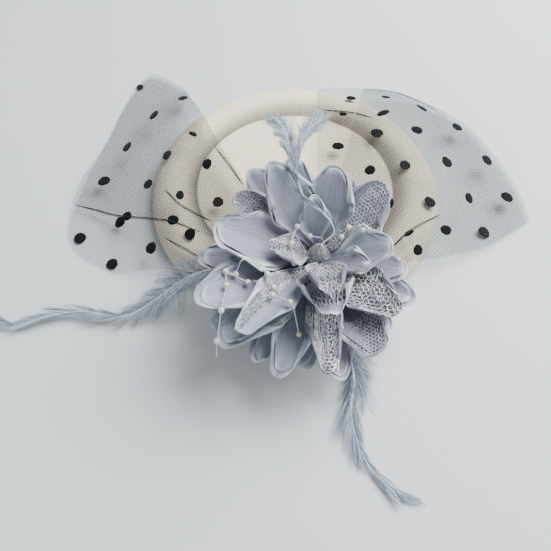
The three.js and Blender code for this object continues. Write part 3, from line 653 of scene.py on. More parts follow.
def petal_shell(index, row, offset, across=24, along=34, thickness=0.34, bead=0.52):
    """A thin closed petal with a thickened, rolled rim: points, faces, shade and uv."""
    share, breadth = row[3:5]
    t = np.linspace(-1, 1, across + 1)
    u = 0.72 * np.sin(math.pi / 2 * t) + 0.28 * t
    w = np.linspace(0, 1, along + 1)
    v = 0.55 * np.sin(math.pi / 2 * w) + 0.45 * w
    u, v = np.meshgrid(u, v, indexing="ij")
    middle = petal_point(row, u, v)
    normal = normals(middle)
    waves = petal_waves(WAVE_SEED + index % UPPER_SEED_STEP, u, v)
    half = petal_half(breadth, v)
    edge = np.minimum((1 - np.abs(u)) * half, (1 - v) * PETAL_LENGTH * share)
    rolled = np.exp(-(edge / RIM_REACH) ** 2) * np.clip(v * 5, 0, 1)
    thick = thickness + (bead - thickness) * np.clip(rolled, 0, 1)
    thick = np.where(edge < 0.05, thickness * 0.8, thick)
    middle = middle + normal * (waves + offset)[..., None]
    out = normals(middle) * thick[..., None] / 2
    points, faces = shell(middle + out, middle - out)
    dice = np.random.default_rng(SHADE_SEED + index)
    # A painted highlight along the rim, stronger in some places than others.
    highlight_phase = u * dice.uniform(2, 3) + v * dice.uniform(3, 5) + dice.uniform(0, 6)
    near = np.exp(-(edge / RIM_HIGHLIGHT_REACH) ** 2) * np.clip(v * 3, 0, 1) * (0.62 + 0.38 * np.sin(highlight_phase))
    shade = np.stack([near, v, np.full_like(v, dice.uniform(0, 1))], -1).reshape(-1, 3)
    uv = np.stack([u * 0.5 + 0.5, v], -1).reshape(-1, 2)
    return points, faces, np.concatenate([shade] * 2), np.concatenate([uv] * 2)


def over_petal(index, row, u, v, offset):
    """Points standing offset above the petal's cloth."""
    eps = 1e-3
    at = petal_point(row, u, v)
    over_u = petal_point(row, u + eps, v) - at
    over_v = petal_point(row, u, v + eps) - petal_point(row, u, v - eps)
    waves = petal_waves(WAVE_SEED + index, u, np.clip(v, 0, 1))
    return at + unit(np.cross(over_v, over_u)) * (waves + offset)[..., None]


def with_painted_shade(points, painted_shade):
    """The shade attribute of lace, greyed by its second argument as painted shade."""
    return np.tile([0.0, 0.5, painted_shade], (len(points), 1))


FLOSS_RADIUS, FLOSS_OFFSET, FLOSS_DRIFT, FLOSS_POINTS = 0.09, 0.45, 0.1, 16


def floss(index, row, count, band, reach, painted_shade):
    """Loose silky threads that run down a lace petal."""
    dice = np.random.default_rng(FLOSS_SEED + index)
    t = np.linspace(0, 1, FLOSS_POINTS)[None, :]
    first = dice.uniform(reach[0], lerp(reach[0], reach[1], 0.5), (count, 1))
    last = first + (reach[1] - first) * dice.uniform(0.5, 1.0, (count, 1))
    v = lerp(first, last, t)
    u = dice.uniform(band[0], band[1], (count, 1))
    u = u + FLOSS_DRIFT * dice.normal(0, 1, (count, 1)) * t
    u = u + FLOSS_DRIFT * 0.5 * np.sin(t * dice.uniform(3, 9, (count, 1)))
    at = over_petal(index, row, np.clip(u, -1, 1), v, FLOSS_OFFSET + 0.12 * dice.normal(0, 1, (count, 1)))
    points, faces = strands(at, FLOSS_RADIUS * dice.uniform(0.6, 1.3, (count, 1)))
    return points, faces, with_painted_shade(points, painted_shade)


CELL_JITTER, TORN_SHARE, KEPT_ENDS, BORDER_POINTS, BORDER_EDGE = 0.15, 0.06, 0.6, 70, 0.985


def lace_strands(index, row, cell, radius, offset=0.28, reach=(0.05, 1.0), band=(-1.0, 1.0), pull=1.0,
                 jag=0.0, painted_shade=0.0):
    """Knotted open-work over a petal: an uneven six-sided mesh, with a cord along its borders.

    band is the part across the petal and reach the part along it that it covers, pull draws the
    cells out lengthwise, jag lets torn ends stand past the tip, and the last one greys it as painted shade."""
    dice = np.random.default_rng(LACE_SEED + index)
    length = PETAL_LENGTH * row[3]
    wide, breadth = PETAL_WIDTH * row[4] / 2, row[4]
    low, high = reach[0] * length / pull, (reach[1] + 0.1) * length / pull
    nodes, edges = hexagons(-wide - cell, wide + cell, low, high, cell)
    nodes = nodes + dice.normal(0, cell * CELL_JITTER, nodes.shape)
    v = nodes[:, 1] * pull / length
    half = petal_half(breadth, np.clip(v, 0, 1))
    u = nodes[:, 0] / half
    last = reach[1] + jag * dice.uniform(-0.4, 1.0, len(v))
    inside = u >= band[0] - jag * dice.uniform(0, 1, len(v))
    inside &= u <= band[1] + jag * dice.uniform(0, 1, len(v))
    inside &= (v < last) & (np.abs(u) <= 1.02)
    keep = inside[edges[:, 0]] & inside[edges[:, 1]]
    ends = inside[edges[:, 0]] ^ inside[edges[:, 1]]
    keep |= ends & (dice.uniform(0, 1, len(edges)) < KEPT_ENDS)
    edges = edges[keep & (dice.uniform(0, 1, len(edges)) > TORN_SHARE)]
    u, v = np.clip(u, -1, 1), np.clip(v, 0, 1.0 + jag)

    at = over_petal(index, row, u, v, offset)
    a, b = at[edges[:, 0]], at[edges[:, 1]]
    middle = (a + b) / 2 + dice.normal(0, 0.05, a.shape)
    thin = radius * dice.uniform(0.45, 1.25, (len(edges), 1))
    radii = np.concatenate([thin * 1.4, thin * 0.8, thin * 1.4], 1)
    parts = [strands(np.stack([a, middle, b], 1), radii)]
    side = np.linspace(reach[0], min(reach[1], 0.99), BORDER_POINTS)
    lines = [over_petal(index, row, np.full_like(side, s * BORDER_EDGE), side, offset)
             for s in band if abs(s) == 1.0]
    if not jag:
        across = np.linspace(max(band[0], -BORDER_EDGE), min(band[1], BORDER_EDGE), BORDER_POINTS)
        lines.append(over_petal(index, row, across, np.full_like(across, min(reach[1], 0.99)), offset))
    if lines:
        parts.append(strands(np.array(lines), radius * 1.2, 5))
    points, faces = joined(parts)
    return points, faces, with_painted_shade(points, painted_shade)


def hexagons(x0, x1, y0, y1, side):
    """Nodes and edges of a six-sided lattice over a box."""
    across, up = side * math.sqrt(3), side * 1.5
    columns, rows = int((x1 - x0) / across) + 2, int((y1 - y0) / up) + 2
    nodes = np.empty((rows, columns, 2, 2))
    j, i = np.meshgrid(np.arange(rows), np.arange(columns), indexing="ij")
    shift = (j % 2) * across / 2
    nodes[..., 0, 0] = x0 + i * across + shift
    nodes[..., 0, 1] = y0 + j * up
    nodes[..., 1, 0] = nodes[..., 0, 0] + across / 2
    nodes[..., 1, 1] = nodes[..., 0, 1] + side / 2
    index = np.arange(rows * columns * 2).reshape(rows, columns, 2)
    pairs = [np.stack([index[..., 0].ravel(), index[..., 1].ravel()], 1)]
    pairs.append(np.stack([index[:, :-1, 1].ravel(), index[:, 1:, 0].ravel()], 1))
    for parity in (0, 1):
        lower = index[parity:-1:2, :, 1]
        upper = index[parity + 1::2, :, 0][:len(lower)]
        if parity == 0:
            pairs.append(np.stack([lower.ravel(), upper.ravel()], 1))
        else:
            pairs.append(np.stack([lower[:, :-1].ravel(), upper[:, 1:].ravel()], 1))
    return nodes.reshape(-1, 2), np.concatenate(pairs)


# For each lace petal, the layers of lace on it and its count of loose threads.
LACE_LAYERS = {
    1: ([dict(cell=0.95, radius=0.12, pull=1.3, painted_shade=0.3),
         dict(cell=1.3, radius=0.25, offset=0.6, band=(0.15, 1.0), jag=0.05)], 60),
    2: ([dict(cell=1.3, radius=0.23, offset=0.5, jag=0.07),
         dict(cell=0.95, radius=0.13, offset=0.1, painted_shade=0.3)], 18),
    3: ([dict(cell=0.95, radius=0.14, painted_shade=0.1)], 70),
    4: ([dict(cell=1.0, radius=0.17, band=(-1.0, 0.35), painted_shade=0.1)], 30),
    5: ([dict(cell=1.0, radius=0.15, pull=1.4, band=(-1.0, -0.08), jag=0.02)], 46),
    6: ([dict(cell=0.95, radius=0.17, pull=3.2, reach=(0.05, 0.82), jag=0.04)], 110),
    7: ([dict(cell=0.95, radius=0.16, jag=0.06, pull=2.6)], 50),
    8: ([dict(cell=1.05, radius=0.2, jag=0.14),
         dict(cell=1.0, radius=0.17, offset=0.7, jag=0.16, pull=0.8)], 26),
}
# The chiffon petal whose hollow is lined with lace and darkened with painted shade, and the layers of that.
HOLLOW = 16
LINING = (
    dict(cell=0.95, radius=0.07, offset=0.75, reach=(0.1, 0.98), painted_shade=1.0),
    dict(cell=1.0, radius=0.13, offset=0.9, reach=(0.6, 0.99), painted_shade=0.3, jag=0.02),
)
# How light the cloth under each lace petal is, from 0 to 1, and under those not named.
# Low tones stand in for the shade seen through the lace's holes: painted shade.
BACKING_SHADE_TONES, PAINTED_SHADE_TONE = {3: 0.5, 4: 0.62, 7: 0.12, 8: 0.4}, 0.04
# Lace petals with a painted rim highlight, half open to their cloth, and with a bare cupped tip.
LIPPED, HALF_LACED, CUPPED = {3, 5, 6}, {5}, {6}
# How far each layer's cloth stands off the solid's middle surface, in mm.
LOWER_OFFSET, UPPER_OFFSET, BACKING_OFFSET = -0.2, 0.3, -0.22


def lace_pieces(stem, index, row, layouts, node):
    return [piece(f"{stem}_{k + 1}", lace_strands(index, row, **layout), lace, node)
            for k, layout in enumerate(layouts)]


counts = {"chiffon": 0, "lace": 0}
for index, row in enumerate(PETALS):
    kind, level, bearing, share, breadth, fold, curl = row
    counts[kind] += 1
    number = counts[kind]
    node = f"{kind}_petal_{number:02d}"
    extras = []
    if kind == "chiffon":
        made = petal_shell(index, row, LOWER_OFFSET)
        # The hollow's cloth is darkened: painted shade in the hollow.
        made[2][:, 1] *= 0.4 if number == HOLLOW else 1.0
        cloth = piece(f"petal_{number:02d}", made, chiffon, node)
        dice = np.random.default_rng(UPPER_SEED + index)
        upper = (kind, level, bearing + dice.uniform(-2.5, 2.5), share * dice.uniform(0.94, 0.97),
                 breadth * dice.uniform(0.88, 0.95), fold, curl)
        made = petal_shell(index + UPPER_SEED_STEP, upper, UPPER_OFFSET, across=18, along=28, bead=0.42)
        # The hollow's upper layer loses most of its rim highlight and darkens too: painted shade.
        made[2][:, :2] *= (0.5, 0.3) if number == HOLLOW else 1.0
        layer = piece(f"petal_{number:02d}_upper", made, chiffon, node)
        if number == HOLLOW:
            extras += lace_pieces("hollow_lining", index, row, LINING, node)
    else:
        lip = number in LIPPED
        made = petal_shell(index, row, BACKING_OFFSET, thickness=0.2, bead=0.5 if lip else 0.25)
        shade, uv = made[2:]
        bare = (number in HALF_LACED) & (uv[:, 0] > 0.45) | (number in CUPPED) & (uv[:, 1] > 0.8)
        # Where lace covers it, the cloth is darkened: painted shade in the lace's holes.
        shade[:, 1] = np.where(bare, shade[:, 1], BACKING_SHADE_TONES.get(number, PAINTED_SHADE_TONE) + 0.12 * shade[:, 1])
        shade[:, 2] = np.where(bare, 1.0 if number in CUPPED else 0.7, 0.0)
        # Lace petals without a light rim keep only a trace of the painted rim highlight.
        shade[:, 0] *= 1.0 if lip else 0.1
        cloth = piece(f"lace_backing_{number:02d}", made, chiffon, node)
        layouts, loose = LACE_LAYERS[number]
        extras += lace_pieces(f"lace_{number:02d}", index, row, layouts, node)
        band = (-0.97, -0.1 if number in HALF_LACED else 0.97)
        reach = (0.08, 0.8 if number in CUPPED else 0.99)
        # The loose threads are greyed a little: painted shade.
        threads = floss(index, row, loose, band, reach, 0.2)
        extras.append(piece(f"lace_{number:02d}_floss", threads, lace, node))


# Radius and height of the wound lace, up the hub and just past the stalk's tip.
HEART = np.array([
    (HUB_RADIUS - 0.2, 3.0), (5.6, 8.0), (4.7, 11.5), (4.1, 13.6), (3.0, 16.0), (2.1, 18.5), (0.3, 21.2),
])
HEART_CELL, HEART_RISE, HEART_ROUND, HEART_TURNS, HEART_THREADS = 1.25, 18.0, 56.0, 2, 80
HEART_MESH_RADIUS, HEART_THREAD_RADIUS = 0.13, 0.11


def make_heart():
    """Lace wound round the hub and up the stalk."""
    stops, last, many = np.arange(len(HEART)), len(HEART) - 1.0, (HEART_THREADS, 1)
    nodes, edges = hexagons(0, HEART_ROUND + 4, 0.0, HEART_RISE, HEART_CELL)
    dice = np.random.default_rng(HEART_SEED)
    nodes = nodes + dice.normal(0, 0.14, nodes.shape)
    share = nodes[:, 1] / HEART_RISE * last
    good = (share >= 0) & (share <= last) & (nodes[:, 0] < HEART_ROUND)
    r = np.interp(share, stops, HEART[:, 0]) + dice.normal(0, 0.12, len(share))
    z = np.interp(share, stops, HEART[:, 1])
    turn = nodes[:, 0] / HEART_ROUND * 2 * HEART_TURNS * math.pi
    at = tilted(np.stack([r * np.cos(turn), r * np.sin(turn), z], 1))
    edges = edges[good[edges[:, 0]] & good[edges[:, 1]]]
    mesh = strands(np.stack([at[edges[:, 0]], at[edges[:, 1]]], 1), HEART_MESH_RADIUS, lean=(0.0, -1.0, 0.3))
    t = np.linspace(0, 1, FLOSS_POINTS)[None, :]
    share = lerp(last, dice.uniform(1.5, 4.5, many), t)
    r = np.interp(share, stops, HEART[:, 0]) + 0.3 + 0.15 * dice.normal(0, 1, many)
    z = np.interp(share, stops, HEART[:, 1]) + 0.6 * (1 - t) * dice.uniform(0, 1, many)
    turn = dice.uniform(0, 2 * math.pi, many) + t * dice.normal(0, 0.5, many)
    threads = strands(tilted(np.stack([r * np.cos(turn), r * np.sin(turn), z], -1)), HEART_THREAD_RADIUS)
    points, faces = joined([mesh, threads])
    # The heart's lace is greyed a little: painted shade at the flower's middle.
    piece("heart_lace", (points, faces, with_painted_shade(points, 0.1)), lace, "flower_foot")


make_heart()

# Net

# sheet (0 lower, 0.5 side fold, 1 upper), bearing, sweep, reach, puff
LEFT_NET = [
    (0, 176, 0, 0.61, 0), (0, 170, 0, 0.75, 0), (0, 164, 0, 0.8, 0), (0, 157, 0, 0.82, 0),
    (0, 150, 0, 0.85, 0), (0, 142, 0, 0.89, 0), (0, 134, 2, 0.96, 0), (0, 127, 5, 1.03, 0),
    (0, 122, 8, 1.06, 0), (0.5, 118, 10, 0.93, 0.1), (1, 122, 8, 1.06, 0.25), (1, 127, 5, 1.03, 0.45),
    (1, 133, 2, 0.96, 0.3), (1, 139, 0, 0.9, 0.5), (1, 145, 0, 0.87, 0.3), (1, 152, 0, 0.85, 0.45),
    (1, 159, 4, 0.82, 0.1),
]
RIGHT_NET = [
    (0, 88, 0, 0.74, 0), (0, 80, 0, 0.79, 0), (0, 70, 0, 0.85, 0), (0, 60, 0, 0.85, 0), (0, 50, 0, 0.84, 0),
    (0, 41, -3, 0.8, 0), (0, 32, -8, 0.77, 0), (0, 24, -14, 0.74, 0), (0.5, 19, -20, 0.72, 0.1),
    (1, 24, -14, 0.74, 0.45), (1, 32, -8, 0.77, 0.5), (1, 41, -3, 0.8, 0.95), (1, 50, 0, 0.84, 0.75),
    (1, 60, 0, 0.85, 1), (1, 69, 0, 0.84, 0.75), (1, 76, 0, 0.78, 0.5),
]
PETAL_COVER, PUFF_BLUNTNESS, BRIM_SOFTNESS, DRAPE_SLACK = 0.8, 0.7, 3.0, 0.6
NET_FINER, NET_STEPS, LOWER_UP_TO, UPPER_FROM = 8, 60, 0.52, 0.48
NET_CELL, NET_INNER_RADIUS, ABOVE_ALL = 0.92, 24.0, 200.0
# For each side, the turns of the mesh on the lower and the upper sheet, and the thread's radius.
NET_MESH = {"left": ((0.35, 0.12), 0.06), "right": ((0.85, 0.62), 0.054)}
LOW_SPOT_EVERY, SPOT_SIDES, SPOT_RANGE = 5, 28, (1.2, 3.3)
# The pleat along a fold: its threads, half width, height, and the jump that ends one run of it.
PLEAT_THREADS, PLEAT_HALF, PLEAT_HEIGHT, PLEAT_JUMP = 9, 0.55, 0.9, 2.5
PLEAT_RADIUS, PLEAT_POINTS = 0.09, 48


def net_surface(rows, finer, steps):
    """The net's middle surface as a smooth grid, and for each of its rows the sheet it belongs to."""
    table, _ = smooth_path(rows, (len(rows) - 1) * finer + 1)
    sheet, bearing, sweep, reach, puff = (table[:, k][:, None] for k in range(5))
    sheet = np.clip(sheet, 0, 1)
    reach = reach * NET_REACH
    out = lerp(FOOT_RADIUS + GAP, reach, np.linspace(0, 1, steps)[None, :])
    turn = np.radians(bearing + sweep * (1 - out / reach))
    x, y = FLOWER[0] + out * np.cos(turn), FLOWER[1] + out * np.sin(turn)
    covered = PETAL_LENGTH * PETAL_COVER
    free = np.clip((out - covered) / (reach - covered), 0, 1)
    lift = NET_PUFF * np.maximum(puff, 0) * np.sin(math.pi * free) ** PUFF_BLUNTNESS
    soft = BRIM_SOFTNESS * np.logaddexp(0, (np.hypot(x, y) - BRINK_RADIUS) / BRIM_SOFTNESS)
    z = np.maximum(CREST_HEIGHT + CLOTH_RISE - math.tan(rad(DRAPE_ANGLE)) * soft, GAP)
    z = np.maximum(z, drape(x, y) - DRAPE_SLACK)
    z = z + NET_WALL / 2 + (NET_WALL + NET_FOLD_GAP) * sheet + lift
    return np.stack([x, y, z], -1), sheet[:, 0]


DOWN = Vector((0, 0, -1))


def net_threads(grid, tree, turn, radius):
    """A six-sided tulle mesh dropped from above on a grid surface."""
    grid = grid.reshape(-1, 3)
    centre = grid.mean(0)
    span = np.linalg.norm(grid[:, :2] - centre[:2], axis=1).max() + NET_CELL
    nodes, edges = hexagons(-span, span, -span, span, NET_CELL)
    c, s = math.cos(turn), math.sin(turn)
    x = nodes[:, 0] * c - nodes[:, 1] * s + centre[0]
    y = nodes[:, 0] * s + nodes[:, 1] * c + centre[1]
    x = x + 0.5 * np.sin(y * 0.11 + 1.0) + 0.35 * np.sin(y * 0.05 + x * 0.07)
    y = y + 0.5 * np.sin(x * 0.09 + 2.0) + 0.35 * np.sin(x * 0.06 - y * 0.05)
    low, high = grid.min(0), grid.max(0)
    near = (x > low[0]) & (x < high[0]) & (y > low[1]) & (y < high[1])
    near &= np.hypot(x - FLOWER[0], y - FLOWER[1]) > NET_INNER_RADIUS
    z = np.full(len(x), np.nan)
    for i in np.nonzero(near)[0]:
        hit = tree.ray_cast(Vector((x[i], y[i], ABOVE_ALL)), DOWN)
        if hit[0] is not None:
            z[i] = hit[0].z
    edges = edges[~np.isnan(z[edges[:, 0]]) & ~np.isnan(z[edges[:, 1]])]
    at = np.stack([x, y, z], 1)
    return strands(np.stack([at[edges[:, 0]], at[edges[:, 1]]], 1), radius)


# Flocked spots as the camera sees them: middle and size in pixels, and lean in degrees.
LEFT_SPOTS = [
    (140, 87, 7, 6, 0), (183, 98, 10, 12, 0), (154, 115, 11, 11, 0), (193, 134, 9, 5, -30),
    (127, 147, 11, 13, 0),
    (167, 155, 10, 11, 0), (207, 164, 10, 11, 0), (104, 181, 13, 13, 0), (148, 184, 10, 10, 0),
    (180, 195, 8, 10, 0), (218, 202, 11, 11, 0), (173, 220, 12, 10, 0), (127, 216, 12, 9, 0),
    (120, 222, 12, 13, 0), (190, 234, 11, 12, 0), (80, 238, 12, 12, 0), (151, 248, 12, 12, 0),
    (112, 264, 12, 11, 0),
]
RIGHT_SPOTS = [
    (351, 98, 10, 5, 0), (386, 97, 9, 4, 0), (343, 114, 8, 4, 0), (383, 113, 13, 6, 15),
    (422, 108, 13, 6, 10), (377, 133, 13, 10, 0), (417, 130, 13, 8, 0), (457, 127, 11, 9, 0),
    (338, 146, 12, 8, 0), (370, 170, 11, 10, 0),
    (405, 165, 11, 10, 0), (447, 162, 12, 12, 0), (487, 160, 12, 12, 0), (312, 167, 10, 10, 0),
    (389, 203, 10, 11, 0), (430, 202, 13, 11, 0), (469, 198, 10, 11, 0), (507, 197, 14, 11, 0),
    (409, 233, 11, 5, 30), (446, 230, 13, 10, 0), (484, 232, 13, 12, 0), (418, 250, 10, 11, 0),
]
# Sharp folds in the net, through points as the camera sees them.
LEFT_CREASES = [
    [(215, 147), (229, 165), (243, 185)],
    [(165, 190), (172, 197), (180, 205), (196, 214), (213, 222)],
    [(75, 205), (95, 210), (117, 216), (150, 219), (173, 222), (200, 232)],
    [(165, 238), (186, 250), (208, 262)],
]
RIGHT_CREASES = [
    [(440, 215), (422, 224), (405, 235), (385, 255)],
    [(322, 110), (340, 112), (356, 114), (373, 118)],
]


def on_sheets(trees, px, py, prefer):
    """Where a line of sight meets the net: the preferred sheet, or else the other."""
    ray = sight(px, py)
    for k in (prefer, 1 - prefer):
        hit = trees[k].ray_cast(Vector(VIEW_PLACE), Vector(ray))
        if hit[0] is not None:
            normal = np.array(hit[1])
            return np.array(hit[0]), normal * (1 if normal[2] > 0 else -1)
    return None


def make_spot(at, normal, wide, tall, lean, seed):
    """A domed spot with an uneven edge, as wide and tall in pixels as the camera sees it."""
    dice = np.random.default_rng(seed)
    pixel = np.dot(at - VIEW_PLACE, VIEW_AHEAD) / FOCAL_PIXELS
    across = unit(VIEW_RIGHT - normal * np.dot(VIEW_RIGHT, normal))
    back = np.cross(normal, across)
    tall = tall / max(0.35, abs(np.dot(back, VIEW_UP)))
    a, b = np.clip(np.array([wide, tall]) * pixel / 2, *SPOT_RANGE)
    turn = circle(SPOT_SIDES)
    edge = 1 + 0.03 * np.sin(3 * turn + dice.uniform(0, 6)) + 0.025 * np.sin(7 * turn + dice.uniform(0, 6))
    edge = edge + dice.normal(0, 0.012, turn.shape)
    c, s = math.cos(rad(lean)), math.sin(rad(lean))
    grid = []
    dome = ((0.0, 0.34), (0.5, 0.33), (0.82, 0.28), (0.97, 0.14), (1.0, 0.0), (0.97, -0.12), (0.0, -0.14))
    for share, height in dome:
        p, q = a * share * edge * np.cos(turn), b * share * edge * np.sin(turn)
        flat = (p * c - q * s)[:, None] * across + (p * s + q * c)[:, None] * back
        grid.append(at + flat + normal * height)
    grid = np.array(grid).transpose(1, 0, 2)
    return grid.reshape(-1, 3), [grid_faces(len(turn), grid.shape[1], wrap=True, flip=True)]


def pleats(trees, line):
    """Threads that stand up in a sharp fold along a line that the camera sees."""
    path, _ = smooth_path([(x, y, 0.0) for x, y in line], PLEAT_POINTS)
    hits = [on_sheets(trees, x, y, 1) for x, y, _ in path]
    points = np.array([hit[0] for hit in hits if hit is not None])
    jumps = np.linalg.norm(np.diff(points, axis=0), axis=1)
    whole = np.sin(np.linspace(0.15, math.pi - 0.15, len(points)))
    cuts = np.nonzero(jumps > PLEAT_JUMP * np.median(jumps))[0] + 1
    found = []
    for points, swell in zip(np.split(points, cuts), np.split(whole, cuts)):
        if len(points) < 3:
            continue
        aside = np.cross(unit(np.gradient(points, axis=0)), [0, 0, 1])
        for k in range(PLEAT_THREADS):
            angle = math.pi * k / (PLEAT_THREADS - 1)
            shifted = points + aside * (PLEAT_HALF * math.cos(angle) * swell)[:, None]
            shifted[:, 2] += PLEAT_HEIGHT * math.sin(angle) * swell
            shifted[:, 2] += 0.05 * np.sin(np.arange(len(points)) * 1.7 + k)
            found.append(strands(shifted[None], PLEAT_RADIUS))
    return found


def make_net(side, rows, spots, creases):
    """A net's cloth, and the threads, spots and sharp folds that go with it."""
    grid, sheet = net_surface(rows, NET_FINER, NET_STEPS)
    node = f"{side}_net"
    made = (grid, [grid_faces(*grid.shape[:2], flip=True)])
    cloth = piece(f"{side}_net_cloth", made, net_haze, node)
    turns, radius = NET_MESH[side]
    extras, trees = [], []
    for k, part in enumerate((grid[sheet <= LOWER_UP_TO], grid[sheet >= UPPER_FROM])):
        trees.append(tree_of(part.reshape(-1, 3), [grid_faces(*part.shape[:2])]))
        threads = net_threads(part, trees[k], turns[k], radius)
        extras.append(piece(f"{side}_net_threads_{k + 1}", threads, net_thread, node))
    parts = []
    for number, (px, py, wide, tall, lean) in enumerate(spots):
        hit = on_sheets(trees, px, py, 1 if number % LOW_SPOT_EVERY else 0)
        if hit is not None:
            parts.append(make_spot(*hit, wide, tall, lean, SPOT_SEED + number))
    extras.append(piece(f"{side}_net_spots", joined(parts), net_flock, node))
    folds = [thread for line in creases for thread in pleats(trees, line)]
    extras.append(piece(f"{side}_net_folds", joined(folds), net_thread, node))
    return cloth, extras


left_cloth, left_extras = make_net("left", LEFT_NET, LEFT_SPOTS, LEFT_CREASES)
right_cloth, right_extras = make_net("right", RIGHT_NET, RIGHT_SPOTS, RIGHT_CREASES)

# Plumes

# bearing, and reach, lift and width as shares of the plume's own
LEFT_PLUME = [
    (180, 0, 0.8, 0.08), (181, 0.1, 0.92, 0.5), (182, 0.2, 0.96, 0.83), (183, 0.3, 0.96, 1),
    (186, 0.38, 0.72, 0.83), (189, 0.46, 0.6, 0.54), (191, 0.54, 0.5, 0.38), (188, 0.66, 0.6, 0.38),
    (188, 0.76, 0.6, 0.38),
    (189, 0.86, 0.5, 0.33), (187, 0.93, 0.4, 0.25), (185, 1, 0.3, 0.08),
]
FRONT_PLUME = [
    (-70, 0, 0.53, 0.1), (-68.5, 0.2, 1, 0.4), (-69.5, 0.31, 1, 0.8), (-72.2, 0.41, 0.8, 1),
    (-75.6, 0.475, 0.8, 0.95),
    (-77.6, 0.54, 0.8, 0.75), (-78.6, 0.6, 0.8, 0.55), (-78.9, 0.66, 0.8, 0.5), (-78.3, 0.74, 0.8, 0.5),
    (-76.5, 0.82, 0.8, 0.5), (-73.2, 0.92, 0.8, 0.4), (-68.8, 1, 0.67, 0.1),
]
# right, back and rise from the flower's foot in petal lengths, and width as a share
CROWN_PLUME = [
    [(0.015, -0.045, 0.38, 0.15), (0.12, 0.01, 0.47, 0.2), (0.09, 0.08, 0.54, 0.25),
     (-0.03, 0.135, 0.66, 0.28), (-0.145, 0.21, 0.72, 0.28), (-0.21, 0.33, 0.85, 0.3),
     (-0.24, 0.55, 0.87, 0.625), (-0.29, 0.86, 0.8, 1),
     (-0.38, 1.14, 0.7, 0.25)],
    [(-0.145, 0.21, 0.72, 0.15), (-0.2, 0.33, 0.85, 0.28), (-0.18, 0.55, 0.87, 0.5), (-0.1, 0.86, 0.8, 0.875),
     (0.05, 1.13, 0.7, 0.25)],
]
LEFT_REACH, LEFT_WIDTH, LEFT_LIFT = 158.0, 24.0, 5.0
FRONT_REACH, FRONT_WIDTH, FRONT_LIFT = 108.0, 20.0, 1.5
CROWN_WIDTH, CROWN_LEAST = 8.0, 3.2
LEFT_BARBS, FRONT_BARBS, CROWN_BARBS = 1300, 1100, (760, 540)
LEFT_SEED, FRONT_SEED, CROWN_SEED = 11, 12, 13
SPINE_POINTS, BARB_STEPS, BARB_RANGE, BARB_FLATNESS = 240, 8, (1.5, 26), 0.6
BARB_TAPER = np.array([1.0, 1.0, 0.95, 0.85, 0.75, 0.6, 0.42, 0.15])
HAIRS, HAIR_TAPER, DOWNY, STEM_SIDES, STEM_TIP = 9, np.array([[0.055, 0.012]]), 0.25, 6, 0.08
OVER_CLOTH = 0.2


def lying(rows, reach, height):
    """Knots of a plume that lies on the disc and the cloth."""
    knots = []
    for bearing, share, lift, _ in rows:
        out = lerp(FOOT_RADIUS + GAP, reach, share)
        x = FLOWER[0] + out * math.cos(rad(bearing))
        y = FLOWER[1] + out * math.sin(rad(bearing))
        knots.append((x, y, float(drape(x, y)) + lift * height))
    return np.array(knots)


def raised(points):
    """Lifts the points that are lower than just over the cloth."""
    points[..., 2] = np.maximum(points[..., 2], drape(points[..., 0], points[..., 1]) + OVER_CLOTH)


